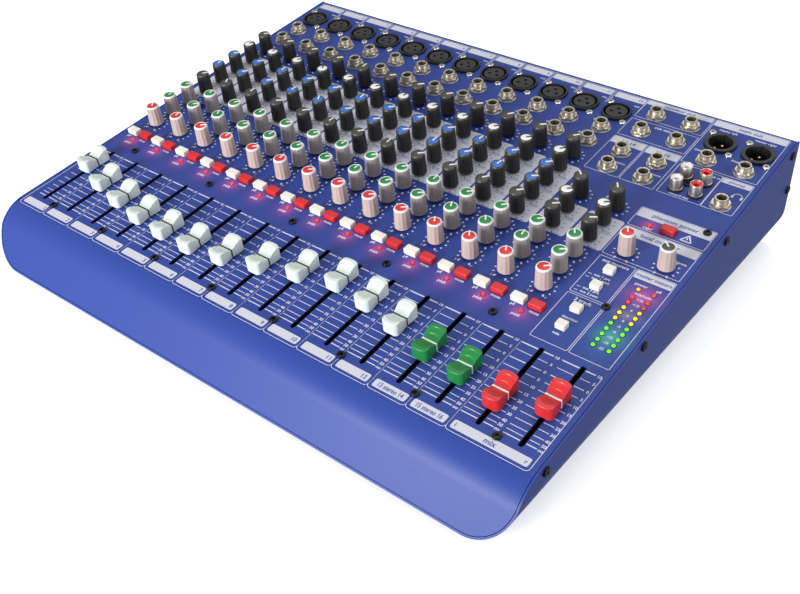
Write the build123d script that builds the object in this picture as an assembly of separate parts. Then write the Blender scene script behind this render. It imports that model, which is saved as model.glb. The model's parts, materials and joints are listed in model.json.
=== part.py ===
from build123d import *
import math
import os

# Mixing console, millimetres.
# The row frame has +X to the operator's right, +Y to the rear and +Z up, with its
# origin at the middle of the underside of the feet.
# Most pieces are laid out on the panel frame instead: its z = 0 is the painted face
# of the top panel, y = 0 is the front end of the fader slots and x = 0 is the middle.

# ---------------------------------------------------------------- case
SIDE_MARGIN = 3.9
REAR_MARGIN = 29.5
PANEL_TILT = 8.1
FRONT_DEPTH = 32.4
LOWER_EDGE_RADIUS = 26.0
REAR_CHAMFER = 6.0
WALL = 1.2
SEAM_GAP = 0.4
PANEL_THICKNESS = 1.5
BEND_START_Y = -6.0
BEND_RADIUS = 28.0
APRON_ANGLE = 54.7
FLANGE_DEPTH = 11.0
REAR_FLANGE_DEPTH = 12.0
FOOT_HEIGHT = 5.0
FOOT_RADIUS = 9.0
FOOT_INSET_X = 52.0
FOOT_INSET_Y = 42.0

# ---------------------------------------------------------------- strip layout
COLUMN_COUNT = 16
COLUMN_PITCH = 26.45
MONO_COLUMNS = 12
SLOT_TO_LAMP = 18.0
LAMP_TO_BUTTON = 7.8
BUTTON_TO_KNOB = 17.1
KNOB_ROW_PITCH = 17.7
KNOB_TO_JACK = 20.0
JACK_ROW_PITCH = 19.2
JACK_TO_XLR = 22.5
STEREO_KNOB_ROWS = 6
MONO_KNOB_ROWS = 8
BUTTON_OFFSET_X = 6.25
LIVE_COLUMN = 11

# ---------------------------------------------------------------- faders
FADER_TRAVEL = 60.0
FADER_FRONT_Y = 3.3
SLOT_FRONT_Y = 0.0
SLOT_END_GAP = 1.0
SLOT_SIDE_GAP = 1.0
LEVER_WIDTH = 1.2
LEVER_LENGTH = 4.0
CAP_LENGTH = 23.0
CAP_WIDTH = 11.4
CAP_WAIST = 10.2
CAP_CORNER_SHARE = 0.86
CAP_CORNER_RADIUS = 2.0
CAP_SCOOP_SHARE = 0.8
CAP_SOCKET_ROOF = 1.5
LEVER_TOP_GAP = 0.1
CAP_GAP = 1.0
CAP_HEIGHT = 9.0
CAP_SADDLE_HEIGHT = 5.7
TRACK_WIDTH = 9.0
TRACK_END = 7.0
TRACK_FLOOR = 2.0
TRACK_TOP_Z = -4.0
FADER_PLACES = (47.3, 37.2, 31.1, 26.2, 23.6, 23.1, 26.5, 33.2, 41.0, 47.6, 44.0, 37.7, 30.6, 27.2, 22.5, 32.8)

# ---------------------------------------------------------------- knobs and their controls
KNOB_GAP = 1.2
KNOB_TOP = 16.8
LOCAL_KNOB_TOP = 17.4
KNOB_BASE_RADIUS = 5.5
KNOB_TOP_RADIUS = 4.85
KNOB_EDGE = 0.4
SHAFT_RADIUS = 3.0
SHAFT_FIT = 0.05
SHAFT_TOP = 11.0
SHAFT_HOLE_RADIUS = 3.7
CONTROL_WIDTH = 9.8
CONTROL_LENGTH = 11.4
CONTROL_TOP_Z = -5.0
CONTROL_FLOOR = 2.0

# ---------------------------------------------------------------- buttons
WIDE_BUTTON = (9.3, 5.8)
SMALL_BUTTON = (6.6, 5.9)
BUTTON_TOP = 3.6
BUTTON_SKIRT = 3.0
BUTTON_EDGE = 0.35
BUTTON_TRAVEL = 1.8
BUTTON_CLEARANCE = 0.35
PLUNGER_SIDE = 2.8
PLUNGER_DEPTH = 9.0
SWITCH_SIDE = 8.0
SWITCH_TOP_Z = -6.0

# ---------------------------------------------------------------- sockets
XLR_RADIUS = 10.85
XLR_RIM = 2.0
XLR_RIM_BEVEL = 0.5
XLR_WALL = 1.25
XLR_GROOVE = 1.8
XLR_INSERT_DROP = 0.6
XLR_INSERT_FOOT = 4.0
XLR_OUTPUT_WALL = 2.55
XLR_OUTPUT_FLOOR = 6.0
XLR_DEPTH = 23.0
XLR_CONTACT_CIRCLE = 3.6
XLR_CONTACT_ANGLES = (110, 250, 0)
XLR_CONTACT_GAP = 0.15
XLR_CONTACT_DEPTH = 12.0
XLR_PIN_RADIUS = 1.2
XLR_PIN_FIT = 0.02
XLR_PIN_TOP_Z = -2.8
XLR_PIN_TIP = 0.7
XLR_KEY = (2.6, 2.4, 12.0)
XLR_KEY_INSET = 0.4
XLR_SCREW_GAP = 0.78
JACK_BORE_RADIUS = 3.2
JACK_BUSH_RADIUS = 4.6
JACK_BUSH_TOP = 6.8
JACK_BUSH_EDGE = 0.4
JACK_GUIDE_LENGTH = 3.2
JACK_RELIEF = 0.2
JACK_FLANGE = 1.4
JACK_FLANGE_THICKNESS = 1.5
JACK_SEAT_GAP = 0.1
JACK_BODY_SIDE = 12.6
JACK_BODY_FLOOR = 3.0
NUT_WALL = 1.4
NUT_HEIGHT = 2.3
NUT_GAP = 0.05
WASHER_RING = 1.0
WASHER_THICKNESS = 0.6
PHONO_RADIUS = 4.15
PHONO_WALL = 0.5
PHONO_TOP = 9.0
PHONO_INSERT_DROP = 0.6
PHONO_SHELL_DEPTH = 2.0
PHONO_ROOT = 0.3
PHONO_BASE_RING = 1.15
PHONO_BASE_HEIGHT = 1.4
PHONO_BORE_RADIUS = 1.6
PHONO_BORE_DEPTH = 6.0

# ---------------------------------------------------------------- screws, lamps, boards
SCREW_HEAD_RADIUS = 2.65
SCREW_HEAD_HEIGHT = 1.5
SCREW_SHANK_RADIUS = 1.45
SCREW_HOLE_GAP = 0.15
SCREW_LENGTH = 8.0
SCREW_RECESS = 2.6
SHORT_SCREW_LENGTH = 6.0
SHORT_SCREW_RECESS = 2.2
RECESS_BLADE = 0.6
SIDE_HEAD_RADIUS = 3.0
SIDE_HEAD_HEIGHT = 1.6
SIDE_RECESS = 2.4
SIDE_SCREW_Z = -5.4
REAR_SCREW_Z = -37.0
SIDE_SCREW_SHARES = (0.645, 0.313)
FRONT_SIDE_SCREW_Y = -2.6
STANDOFF_WALL = 0.85
STANDOFF_FIT = 0.1
LED_RADIUS = 1.5
LED_TOP = 1.0
LED_DEPTH = 6.0
LED_FLANGE = (0.4, 1.0)
BOARD_TOP_Z = -13.0
BOARD_THICKNESS = 1.6
JACK_BOARD_TOP_Z = -24.0
BOARD_EDGE_GAP = 24.0
BOARD_GAP = 1.0
FADER_BOARD_MARGIN = 5.5
CHANNEL_BOARD_MARGIN = 8.2
STEREO_BOARD_MARGIN = 19.0
SOCKET_BOARD_FRONT = 28.8
SOCKET_BOARD_REAR = 12.0
FIT_CLEARANCE = 0.3

# ---------------------------------------------------------------- rear sockets and supply
INLET_X = -150.0
SWITCH_X = -110.0
REAR_CONTROLS_Z = -40.0
INLET_BODY = (27.0, 20.0)
INLET_CAVITY = (24.0, 16.0)
INLET_FLANGE = (50.0, 23.0)
INLET_SCREW_SPACING = 40.0
ROCKER_FRAME = (21.0, 15.0)
ROCKER_BODY = (19.0, 13.0)
ROCKER_SIZE = (9.0, 13.0)
ROCKER_TOP = 3.2
ROCKER_DEPTH = 5.5
ROCKER_SHOULDER = 3.0
ROCKER_DISH = 0.2
ROCKER_SWING = 1.0
ROCKER_WELL = 11.0
ROCKER_ANGLE = 7.0
REAR_SEAT = 0.02
INLET_LIP = 2.5
INLET_DEPTH = 22.0
INLET_WELL = 14.0
INLET_BLADE = (2.0, 4.0, 12.0)
INLET_BLADES = ((-7.0, 2.0), (7.0, 2.0), (0.0, -2.0))
FRAME_LIP = 1.8
FRAME_DEPTH = 18.0
SUPPLY_PLACE = (-130.0, 92.0)
SUPPLY_BOARD = (110.0, 70.0)
SUPPLY_HEIGHT = 6.0
PILLAR_RADIUS = 3.0
PILLAR_INSET = (7.0, 6.0)
CAN_RADIUS = 8.0
CAN_HEIGHT = 22.0
CAN_PLACES = ((-38.0, -18.0), (-18.0, -18.0))
SINK_SIZE = (46.0, 3.0, 20.0)
SINK_PLACE = (12.0, 20.0)
TRANSFORMER_PLACE = (120.0, 60.0)
TRANSFORMER_RADIUS = 36.0
TRANSFORMER_HOLE = 12.0
TRANSFORMER_HEIGHT = 30.0
CLAMP_RADIUS = 26.0
CLAMP_THICKNESS = 1.5
CLAMP_BOLT_RADIUS = 3.0
CLAMP_HEAD = (5.0, 3.5)

# ---------------------------------------------------------------- worked-out values
CASE_WIDTH = COLUMN_COUNT * COLUMN_PITCH + 2 * SIDE_MARGIN
SLOT_LENGTH = FADER_TRAVEL + LEVER_LENGTH + 2 * SLOT_END_GAP
SLOT_WIDTH = LEVER_WIDTH + 2 * SLOT_SIDE_GAP
SLOT_MIDDLE_Y = SLOT_FRONT_Y + SLOT_LENGTH / 2
SLOT_REAR_Y = SLOT_FRONT_Y + SLOT_LENGTH
PEAK_LED_Y = SLOT_REAR_Y + SLOT_TO_LAMP
BUTTON_ROW_Y = PEAK_LED_Y + LAMP_TO_BUTTON
KNOB_FIRST_ROW_Y = BUTTON_ROW_Y + BUTTON_TO_KNOB
KNOB_LAST_ROW_Y = KNOB_FIRST_ROW_Y + (MONO_KNOB_ROWS - 1) * KNOB_ROW_PITCH
FRONT_JACK_Y = KNOB_LAST_ROW_Y + KNOB_TO_JACK
REAR_JACK_Y = FRONT_JACK_Y + JACK_ROW_PITCH
XLR_ROW_Y = REAR_JACK_Y + JACK_TO_XLR
CASE_REAR_Y = XLR_ROW_Y + REAR_MARGIN
TRACK_LENGTH = SLOT_LENGTH + 2 * TRACK_END
FADER_BOARD_REAR_Y = SLOT_REAR_Y + FADER_BOARD_MARGIN
NUT_ACROSS_FLATS = 2 * (JACK_BUSH_RADIUS + NUT_WALL)
WASHER_RADIUS = NUT_ACROSS_FLATS / 2 + WASHER_RING
PHONO_BASE_RADIUS = PHONO_RADIUS + PHONO_BASE_RING
SCREW_HOLE_RADIUS = SCREW_SHANK_RADIUS + SCREW_HOLE_GAP
XLR_GROOVE_RADIUS = XLR_RADIUS - XLR_WALL
XLR_BOSS_RADIUS = XLR_GROOVE_RADIUS - XLR_GROOVE
XLR_BORE_RADIUS = XLR_RADIUS - XLR_OUTPUT_WALL
XLR_SCREW_OFFSET = (XLR_RADIUS + SCREW_HEAD_RADIUS + XLR_SCREW_GAP) / math.sqrt(2)
PANEL_EDGE_X = CASE_WIDTH / 2 - WALL - SEAM_GAP
TILT = math.radians(PANEL_TILT)
APRON = math.radians(APRON_ANGLE)
APRON_TOP_Y = BEND_START_Y - BEND_RADIUS * math.sin(APRON)
APRON_TOP_Z = -BEND_RADIUS * (1 - math.cos(APRON))
FRONT_Y = APRON_TOP_Y - (FRONT_DEPTH + APRON_TOP_Z) / math.tan(APRON)


def base_z(y):
    """Height, on the panel frame, of the case's underside at a panel y."""
    return -FRONT_DEPTH - (y - FRONT_Y) * math.tan(TILT)


FRONT_ROW_Y = FRONT_Y * math.cos(TILT) + FRONT_DEPTH * math.sin(TILT)
CHAMFER_Z = base_z(CASE_REAR_Y) + REAR_CHAMFER
REAR_ROW_Y = CASE_REAR_Y * math.cos(TILT) - CHAMFER_Z * math.sin(TILT)
SHIFT_Y = -(FRONT_ROW_Y + REAR_ROW_Y) / 2
SHIFT_Z = FOOT_HEIGHT - (FRONT_Y * math.sin(TILT) - FRONT_DEPTH * math.cos(TILT))
PANEL = Location((0, SHIFT_Y, SHIFT_Z), (PANEL_TILT, 0, 0))
CASE_DEPTH = REAR_ROW_Y - FRONT_ROW_Y
FLOOR_Z = FOOT_HEIGHT + WALL


def column(index):
    """Panel x of a strip's centre line, counted from 0 on the left."""
    return (index - (COLUMN_COUNT - 1) / 2) * COLUMN_PITCH


def knob_row(index):
    return KNOB_FIRST_ROW_Y + index * KNOB_ROW_PITCH


MIX_LEFT = column(14)
MIX_RIGHT = column(15)
LOCAL_KNOB_Y = KNOB_FIRST_ROW_Y + 52.4
LOCAL_KNOBS = {"local_level_knob": (MIX_LEFT, LOCAL_KNOB_Y), "phones_level_knob": (MIX_RIGHT, LOCAL_KNOB_Y)}
SQUARE_BUTTONS = {
    "aux_one_button": (MIX_LEFT, LOCAL_KNOB_Y - 20.1),
    "aux_two_button": (MIX_LEFT, LOCAL_KNOB_Y - 36.2),
    "two_track_button": (MIX_LEFT, LOCAL_KNOB_Y - 58.8),
    "monitor_button": (MIX_LEFT, LOCAL_KNOB_Y - 75.2),
}
PHANTOM_PLACE = (MIX_LEFT + 12.7, LOCAL_KNOB_Y + 30.9)
PHANTOM_LED = (MIX_LEFT, LOCAL_KNOB_Y + 30.6)
METER_SPACING = 10.05
METER_COLUMNS = (MIX_RIGHT + 0.3 - METER_SPACING / 2, MIX_RIGHT + 0.3 + METER_SPACING / 2)
METER_PITCH = 5.05
METER_ROWS = 10
METER_REAR_Y = LOCAL_KNOB_Y - 33.0
STATUS_LED_Y = LOCAL_KNOB_Y - 25.3

STEREO_JACK_ROWS = (XLR_ROW_Y + 9.3, REAR_JACK_Y + 8.9, FRONT_JACK_Y - 0.1, FRONT_JACK_Y - 19.8)
PHONES_JACK = (MIX_RIGHT + 1.7, FRONT_JACK_Y - 19.9)
JACKS = [(column(i), REAR_JACK_Y) for i in range(MONO_COLUMNS)]
JACKS += [(column(i), FRONT_JACK_Y) for i in range(MONO_COLUMNS)]
JACKS += [(column(i), y) for i in (12, 13) for y in STEREO_JACK_ROWS]
JACKS += [(MIX_LEFT, REAR_JACK_Y + 0.2), (MIX_RIGHT, REAR_JACK_Y + 0.2), PHONES_JACK]
PHONO_SCREW = (MIX_LEFT + 1.3, FRONT_JACK_Y - 10.2)
PHONO_X = (MIX_LEFT - 3.8, MIX_LEFT + 10.0)
PHONOS = [(x, y) for x in PHONO_X for y in (FRONT_JACK_Y - 3.1, FRONT_JACK_Y - 17.8)]

FRONT_SCREW_Y = SLOT_FRONT_Y - 1.0
SCREW_PLACES = [(column(0.5 + 2 * i), FRONT_SCREW_Y) for i in range(8)]
SCREW_PLACES += [(column(0.5 + 3 * i), SLOT_REAR_Y + 8.6) for i in range(5)]
SCREW_PLACES += [(column(0.5 + 3 * i), KNOB_FIRST_ROW_Y + 1.96 * KNOB_ROW_PITCH) for i in range(4)]
SCREW_PLACES += [(column(0.5 + 3 * i), KNOB_LAST_ROW_Y + 0.2) for i in range(4)]
SCREW_PLACES += [(MIX_RIGHT + 6.7, LOCAL_KNOB_Y + 42.2), (column(14.5), LOCAL_KNOB_Y - 48.6)]
SIDE_SCREWS = [(CASE_REAR_Y - 10.8, SIDE_SCREW_Z), (CASE_REAR_Y - 5.8, REAR_SCREW_Z)]
SIDE_SCREWS += [(CASE_REAR_Y * share, SIDE_SCREW_Z) for share in SIDE_SCREW_SHARES]
SIDE_SCREWS += [(FRONT_SIDE_SCREW_Y, SIDE_SCREW_Z)]

MONO_KNOBS = [(i, r) for i in range(MONO_COLUMNS) for r in range(MONO_KNOB_ROWS)]
STEREO_KNOBS = [(i, r) for i in (12, 13) for r in range(STEREO_KNOB_ROWS)]
KNOB_PLACES = {(i, r): (column(i), knob_row(r)) for i, r in MONO_KNOBS + STEREO_KNOBS}
LIVE_KNOBS = {
    "pan_knob": (LIVE_COLUMN, 0),
    "aux_knob": (LIVE_COLUMN, 2),
    "mid_knob": (LIVE_COLUMN, 4),
    "gain_knob": (LIVE_COLUMN, 7),
}


# ---------------------------------------------------------------- small builders
def tube(outer, inner, low, high):
    return cylinder(outer, low, high) - cylinder(inner, low - 1, high + 1)


def cylinder(radius, low, high):
    return Pos(0, 0, low) * extrude(Circle(radius), amount=high - low)


def block(size_x, size_y, low, high):
    return Pos(0, 0, low) * extrude(Rectangle(size_x, size_y), amount=high - low)


def repeat(solid, places):
    """Copies of one solid at each (x, y) on the panel."""
    return [Pos(x, y, 0) * solid for x, y in places]


def repeat_at(solids, place):
    return [Pos(*place, 0) * solid for solid in solids]


def side_profile(points):
    """A closed outline of (y, z) points, as a face on the YZ plane."""
    return make_face(Plane.YZ * Polyline(*points, close=True))


def apron_curve(inset):
    """Outline of the rolled front edge, from the top face to the underside, moved in by inset."""
    radius = BEND_RADIUS - inset
    angles = [APRON * k / 2 for k in range(3)]
    arc = [(BEND_START_Y - radius * math.sin(a), -BEND_RADIUS + radius * math.cos(a)) for a in angles]
    run = (FRONT_DEPTH + APRON_TOP_Z) / math.sin(APRON)
    end = (arc[2][0] - run * math.cos(APRON), arc[2][1] - run * math.sin(APRON))
    return arc, end


def rounded_channel(inset, lift):
    """Long U-shaped prism along Y that the case fits in, moved in by inset and up by lift."""
    half = CASE_WIDTH / 2 - inset
    radius = LOWER_EDGE_RADIUS - inset
    height = CASE_DEPTH
    outline = Rectangle(2 * half, height)
    lower = outline.vertices().sort_by(Axis.Y)[:2]
    outline = fillet(lower, radius)
    low = FOOT_HEIGHT + lift
    long = CASE_DEPTH * 2
    prism = extrude(Plane.XZ * Pos(0, low + height / 2) * outline, amount=long / 2, both=True)
    return prism


# ---------------------------------------------------------------- case pieces
def base_tray():
    """Floor with two sides rising from rounded lower edges, and a bevel up to the rear."""
    arc, end = apron_curve(0)
    chamfer_front = (CASE_REAR_Y - REAR_CHAMFER, base_z(CASE_REAR_Y - REAR_CHAMFER))
    outline = Polyline(arc[0], (CASE_REAR_Y, 0), (CASE_REAR_Y, CHAMFER_Z), chamfer_front, end)
    rim = ThreePointArc(*arc) + Line(arc[2], end)
    outer = extrude(make_face(Plane.YZ * (outline + rim)), amount=CASE_WIDTH, both=True)
    outer = (PANEL * outer) & rounded_channel(0, 0)
    far = 2 * CASE_REAR_Y
    bevel_slope = 1 - math.tan(TILT)
    drop = WALL / math.cos(TILT)
    bevel_lift = WALL * math.hypot(1, bevel_slope)
    meet = CHAMFER_Z + bevel_lift
    joint_y = chamfer_front[0] - (bevel_lift - drop) / (bevel_slope + math.tan(TILT))
    inner = [
        (-far, base_z(-far) + drop),
        (joint_y, base_z(joint_y) + drop),
        (CASE_REAR_Y, meet),
        (far, meet),
        (far, far),
        (-far, far),
    ]
    hollow = (PANEL * extrude(side_profile(inner), amount=CASE_WIDTH, both=True)) & rounded_channel(WALL, WALL)
    tray = outer - hollow
    for side in (-1, 1):
        for y, z in SIDE_SCREWS:
            hole = Pos(side * CASE_WIDTH / 2, y, z) * Rot(0, 90, 0) * cylinder(SCREW_HOLE_RADIUS, -9, 9)
            tray -= PANEL * hole
    return [tray]


def panel_holes():
    """Every opening of the flat top, as wires."""
    holes = []
    for index in range(COLUMN_COUNT):
        slot = SlotOverall(SLOT_LENGTH, SLOT_WIDTH, rotation=90)
        holes.append(Pos(column(index), SLOT_MIDDLE_Y) * slot)
    for place in list(KNOB_PLACES.values()) + list(LOCAL_KNOBS.values()):
        holes.append(Pos(*place) * Circle(SHAFT_HOLE_RADIUS))
    for place in button_places():
        wide, long = WIDE_BUTTON
        holes.append(Pos(*place) * Rectangle(wide + 2 * BUTTON_CLEARANCE, long + 2 * BUTTON_CLEARANCE))
    for place in SQUARE_BUTTONS.values():
        wide, long = SMALL_BUTTON
        holes.append(Pos(*place) * Rectangle(wide + 2 * BUTTON_CLEARANCE, long + 2 * BUTTON_CLEARANCE))
    for place in JACKS:
        holes.append(Pos(*place) * Circle(JACK_BUSH_RADIUS + FIT_CLEARANCE))
    for place in xlr_places():
        holes.append(Pos(*place) * Circle(XLR_RADIUS + FIT_CLEARANCE))
    for place in xlr_screw_places() + SCREW_PLACES + [PHONO_SCREW]:
        holes.append(Pos(*place) * Circle(SCREW_HOLE_RADIUS))
    for place in PHONOS:
        holes.append(Pos(*place) * Circle(PHONO_RADIUS + PHONO_ROOT + FIT_CLEARANCE))
    for place in led_places():
        holes.append(Pos(*place) * Circle(LED_RADIUS + FIT_CLEARANCE))
    return [hole.faces()[0].outer_wire() for hole in holes]


def top_panel():
    """Flat sheet with every opening, rolled over at the front, with a flange down each side."""
    depth = CASE_REAR_Y - BEND_START_Y
    sheet = Pos(0, BEND_START_Y + depth / 2) * Rectangle(2 * PANEL_EDGE_X, depth)
    flat = extrude(Face(sheet.faces()[0].outer_wire(), panel_holes()), amount=-PANEL_THICKNESS)
    rear_edge = flat.edges().filter_by(Axis.X).sort_by(lambda e: e.center().Y + e.center().Z)[-1]
    flat = fillet(rear_edge, PANEL_THICKNESS * 0.8)
    outer, outer_end = apron_curve(0)
    inner, inner_end = apron_curve(PANEL_THICKNESS)
    wires = ThreePointArc(*outer) + Line(outer[2], outer_end) + Line(outer_end, inner_end)
    wires += Line(inner_end, inner[2]) + ThreePointArc(*inner[::-1]) + Line(inner[0], outer[0])
    apron = extrude(make_face(Plane.YZ * wires), amount=PANEL_EDGE_X, both=True)
    apron = (PANEL * apron) & rounded_channel(WALL + SEAM_GAP, WALL + SEAM_GAP)
    panel = PANEL * flat + apron
    rear_stop = CASE_REAR_Y - WALL - SEAM_GAP
    for side in (-1, 1):
        flange = Pos(0, (BEND_START_Y + rear_stop) / 2) * block(
            WALL, rear_stop - BEND_START_Y, -FLANGE_DEPTH, -PANEL_THICKNESS / 2)
        flange = Pos(side * (PANEL_EDGE_X - WALL / 2), 0, 0) * flange
        for y, z in SIDE_SCREWS:
            if z > -FLANGE_DEPTH:
                turned = Rot(0, 90, 0) * cylinder(SCREW_HOLE_RADIUS, -9, 9)
                flange -= Pos(side * PANEL_EDGE_X, y, z) * turned
        panel += PANEL * flange
    return [panel]


def rear_panel():
    """Plate across the rear with the mains openings and a flange forward at each side."""
    top = -PANEL_THICKNESS - SEAM_GAP / 2
    bottom = CHAMFER_Z + WALL + 2 * SEAM_GAP
    front = CASE_REAR_Y - WALL
    plate = Pos(0, CASE_REAR_Y - WALL / 2) * block(2 * PANEL_EDGE_X, WALL, bottom, top)
    for side in (-1, 1):
        ear = block(WALL, REAR_FLANGE_DEPTH, REAR_SCREW_Z - 15.0, -FLANGE_DEPTH - 2 * SEAM_GAP)
        ear = Pos(side * (PANEL_EDGE_X - WALL / 2), front - REAR_FLANGE_DEPTH / 2, 0) * ear
        for y, z in SIDE_SCREWS:
            if z < -FLANGE_DEPTH:
                turned = Rot(0, 90, 0) * cylinder(SCREW_HOLE_RADIUS, -9, 9)
                ear -= Pos(side * PANEL_EDGE_X, y, z) * turned
        plate += ear
    gap = FIT_CLEARANCE
    for x, size in ((INLET_X, INLET_BODY), (SWITCH_X, ROCKER_BODY)):
        opening = Box(size[0] + 2 * gap, 20, size[1] + 2 * gap)
        plate -= Pos(x, CASE_REAR_Y, REAR_CONTROLS_Z) * opening
    for side in (-1, 1):
        turned = Rot(90, 0, 0) * cylinder(SCREW_HOLE_RADIUS, -9, 9)
        plate -= Pos(INLET_X + side * INLET_SCREW_SPACING / 2, CASE_REAR_Y, REAR_CONTROLS_Z) * turned
    return [(PANEL * plate) & rounded_channel(WALL + SEAM_GAP, WALL + SEAM_GAP)]


def foot_places():
    reach_y = CASE_DEPTH / 2 - FOOT_INSET_Y
    reach_x = CASE_WIDTH / 2 - FOOT_INSET_X
    return [(sx * reach_x, sy * reach_y) for sx in (-1, 1) for sy in (-1, 1)]


def rubber_feet():
    foot = extrude(Circle(FOOT_RADIUS), amount=FOOT_HEIGHT)
    lower = foot.edges().sort_by(Axis.Z)[0]
    foot = chamfer(lower, FOOT_HEIGHT / 4)
    return repeat(foot, foot_places())


# ---------------------------------------------------------------- places of repeated pieces
def button_places():
    strips = range(MONO_COLUMNS + 2)
    places = [(column(i) + side * BUTTON_OFFSET_X, BUTTON_ROW_Y) for i in strips for side in (-1, 1)]
    return places + [PHANTOM_PLACE]


def xlr_places():
    return [(column(i), XLR_ROW_Y) for i in list(range(MONO_COLUMNS)) + [14, 15]]


def xlr_screw_places():
    offset = XLR_SCREW_OFFSET
    return [(x + s * -offset, y + s * offset) for x, y in xlr_places() for s in (-1, 1)]


def led_places():
    places = [(column(i), PEAK_LED_Y) for i in range(MONO_COLUMNS + 2)]
    places += [(x, METER_REAR_Y - METER_PITCH * k) for x in METER_COLUMNS for k in range(METER_ROWS)]
    places += [(x, STATUS_LED_Y) for x in METER_COLUMNS]
    return places + [PHANTOM_LED]


# ---------------------------------------------------------------- faders
def fader_cap():
    """Waisted cap with two finger hollows that meet in a raised saddle, on its own socket."""
    half_length = CAP_LENGTH / 2
    half_width = CAP_WIDTH / 2
    half_waist = CAP_WAIST / 2
    low = CAP_GAP
    high = CAP_GAP + CAP_HEIGHT
    corner = half_length * CAP_CORNER_SHARE
    edges = Spline((half_width, -corner), (half_waist, 0), (half_width, corner), tangents=((0, 1), (0, 1)))
    edges += ThreePointArc((half_width, corner), (0, half_length), (-half_width, corner))
    edges += Spline((-half_width, corner), (-half_waist, 0), (-half_width, -corner), tangents=((0, -1), (0, -1)))
    edges += ThreePointArc((-half_width, -corner), (0, -half_length), (half_width, -corner))
    cap = Pos(0, 0, low) * extrude(make_face(edges), amount=high - low)
    corners = [edge for edge in cap.edges().filter_by(Axis.Z) if abs(edge.center().X) > half_waist]
    cap = fillet(corners, CAP_CORNER_RADIUS)
    saddle = CAP_GAP + CAP_SADDLE_HEIGHT
    rise = high - saddle
    radius = (rise ** 2 + (half_length * CAP_SCOOP_SHARE) ** 2) / (2 * rise)
    scoop = Pos(0, 0, saddle + radius) * Rot(0, 90, 0) * cylinder(radius, -CAP_WIDTH, CAP_WIDTH)
    cap -= scoop
    fit = 2 * SHAFT_FIT
    return cap - block(LEVER_WIDTH + fit, LEVER_LENGTH + fit, 0, saddle - CAP_SOCKET_ROOF)


def fader_lever():
    track_floor = BOARD_TOP_Z + TRACK_FLOOR
    top = CAP_GAP + CAP_SADDLE_HEIGHT - CAP_SOCKET_ROOF - LEVER_TOP_GAP
    return block(LEVER_WIDTH, LEVER_LENGTH, track_floor + FIT_CLEARANCE, top)


def fader_tracks():
    """Long metal housings under the slots, each open along its top for the lever."""
    track = block(TRACK_WIDTH, TRACK_LENGTH, BOARD_TOP_Z, TRACK_TOP_Z)
    track -= block(SLOT_WIDTH, SLOT_LENGTH, BOARD_TOP_Z + TRACK_FLOOR, 0)
    return repeat(track, [(column(i), SLOT_MIDDLE_Y) for i in range(COLUMN_COUNT)])


# ---------------------------------------------------------------- knobs
def knob(top):
    """Tapered knob, bored from below for its shaft."""
    profile = Polyline(
        (0, KNOB_GAP), (KNOB_BASE_RADIUS, KNOB_GAP), (KNOB_TOP_RADIUS, top - KNOB_EDGE),
        (KNOB_TOP_RADIUS - KNOB_EDGE, top), (0, top), close=True)
    body = revolve(make_face(Plane.XZ * profile), Axis.Z)
    return body - cylinder(SHAFT_RADIUS + SHAFT_FIT, 0, SHAFT_TOP + SHAFT_FIT)


def shaft():
    return cylinder(SHAFT_RADIUS, BOARD_TOP_Z + CONTROL_FLOOR, SHAFT_TOP)


def control_bodies(places):
    """Potentiometer housings on the board, each bored for its shaft."""
    body = block(CONTROL_WIDTH, CONTROL_LENGTH, BOARD_TOP_Z, CONTROL_TOP_Z)
    body -= cylinder(SHAFT_RADIUS + SHAFT_FIT, BOARD_TOP_Z + CONTROL_FLOOR - SHAFT_FIT, 0)
    return repeat(body, places)


def fixed_knobs(rows):
    live = set(LIVE_KNOBS.values())
    return [KNOB_PLACES[key] for key in KNOB_PLACES if key[1] in rows and key not in live]


# ---------------------------------------------------------------- buttons
def button(size):
    """Moulded cap with its plunger."""
    cap = block(size[0], size[1], -BUTTON_SKIRT, BUTTON_TOP)
    cap = chamfer(cap.faces().sort_by(Axis.Z)[-1].edges(), BUTTON_EDGE)
    return cap + block(PLUNGER_SIDE, PLUNGER_SIDE, -PLUNGER_DEPTH, -BUTTON_SKIRT)


def switch_bodies():
    body = block(SWITCH_SIDE, SWITCH_SIDE - 1, BOARD_TOP_Z, SWITCH_TOP_Z)
    side = PLUNGER_SIDE + 2 * FIT_CLEARANCE
    floor = -PLUNGER_DEPTH - BUTTON_TRAVEL - FIT_CLEARANCE
    body -= block(side, side, floor, 0)
    return repeat(body, button_places() + list(SQUARE_BUTTONS.values()))


# ---------------------------------------------------------------- sockets
def xlr_contact_places():
    radius = XLR_CONTACT_CIRCLE
    angles = [math.radians(degrees) for degrees in XLR_CONTACT_ANGLES]
    return [(radius * math.sin(a), radius * math.cos(a)) for a in angles]


def xlr_input_shell():
    shell = tube(XLR_RADIUS, XLR_GROOVE_RADIUS, -XLR_DEPTH, XLR_RIM)
    rim = shell.edges().sort_by(Axis.Z)[-2:].sort_by(lambda e: e.radius)[-1]
    return chamfer(rim, XLR_RIM_BEVEL)


def xlr_input_insert():
    foot_top = -XLR_DEPTH + XLR_INSERT_FOOT
    insert = cylinder(XLR_BOSS_RADIUS, foot_top, XLR_RIM - XLR_INSERT_DROP)
    insert += cylinder(XLR_GROOVE_RADIUS - SHAFT_FIT, -XLR_DEPTH, foot_top)
    for x, y in xlr_contact_places():
        insert -= Pos(x, y, 0) * cylinder(XLR_PIN_RADIUS + XLR_CONTACT_GAP, -XLR_CONTACT_DEPTH, XLR_RIM)
    return insert


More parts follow.
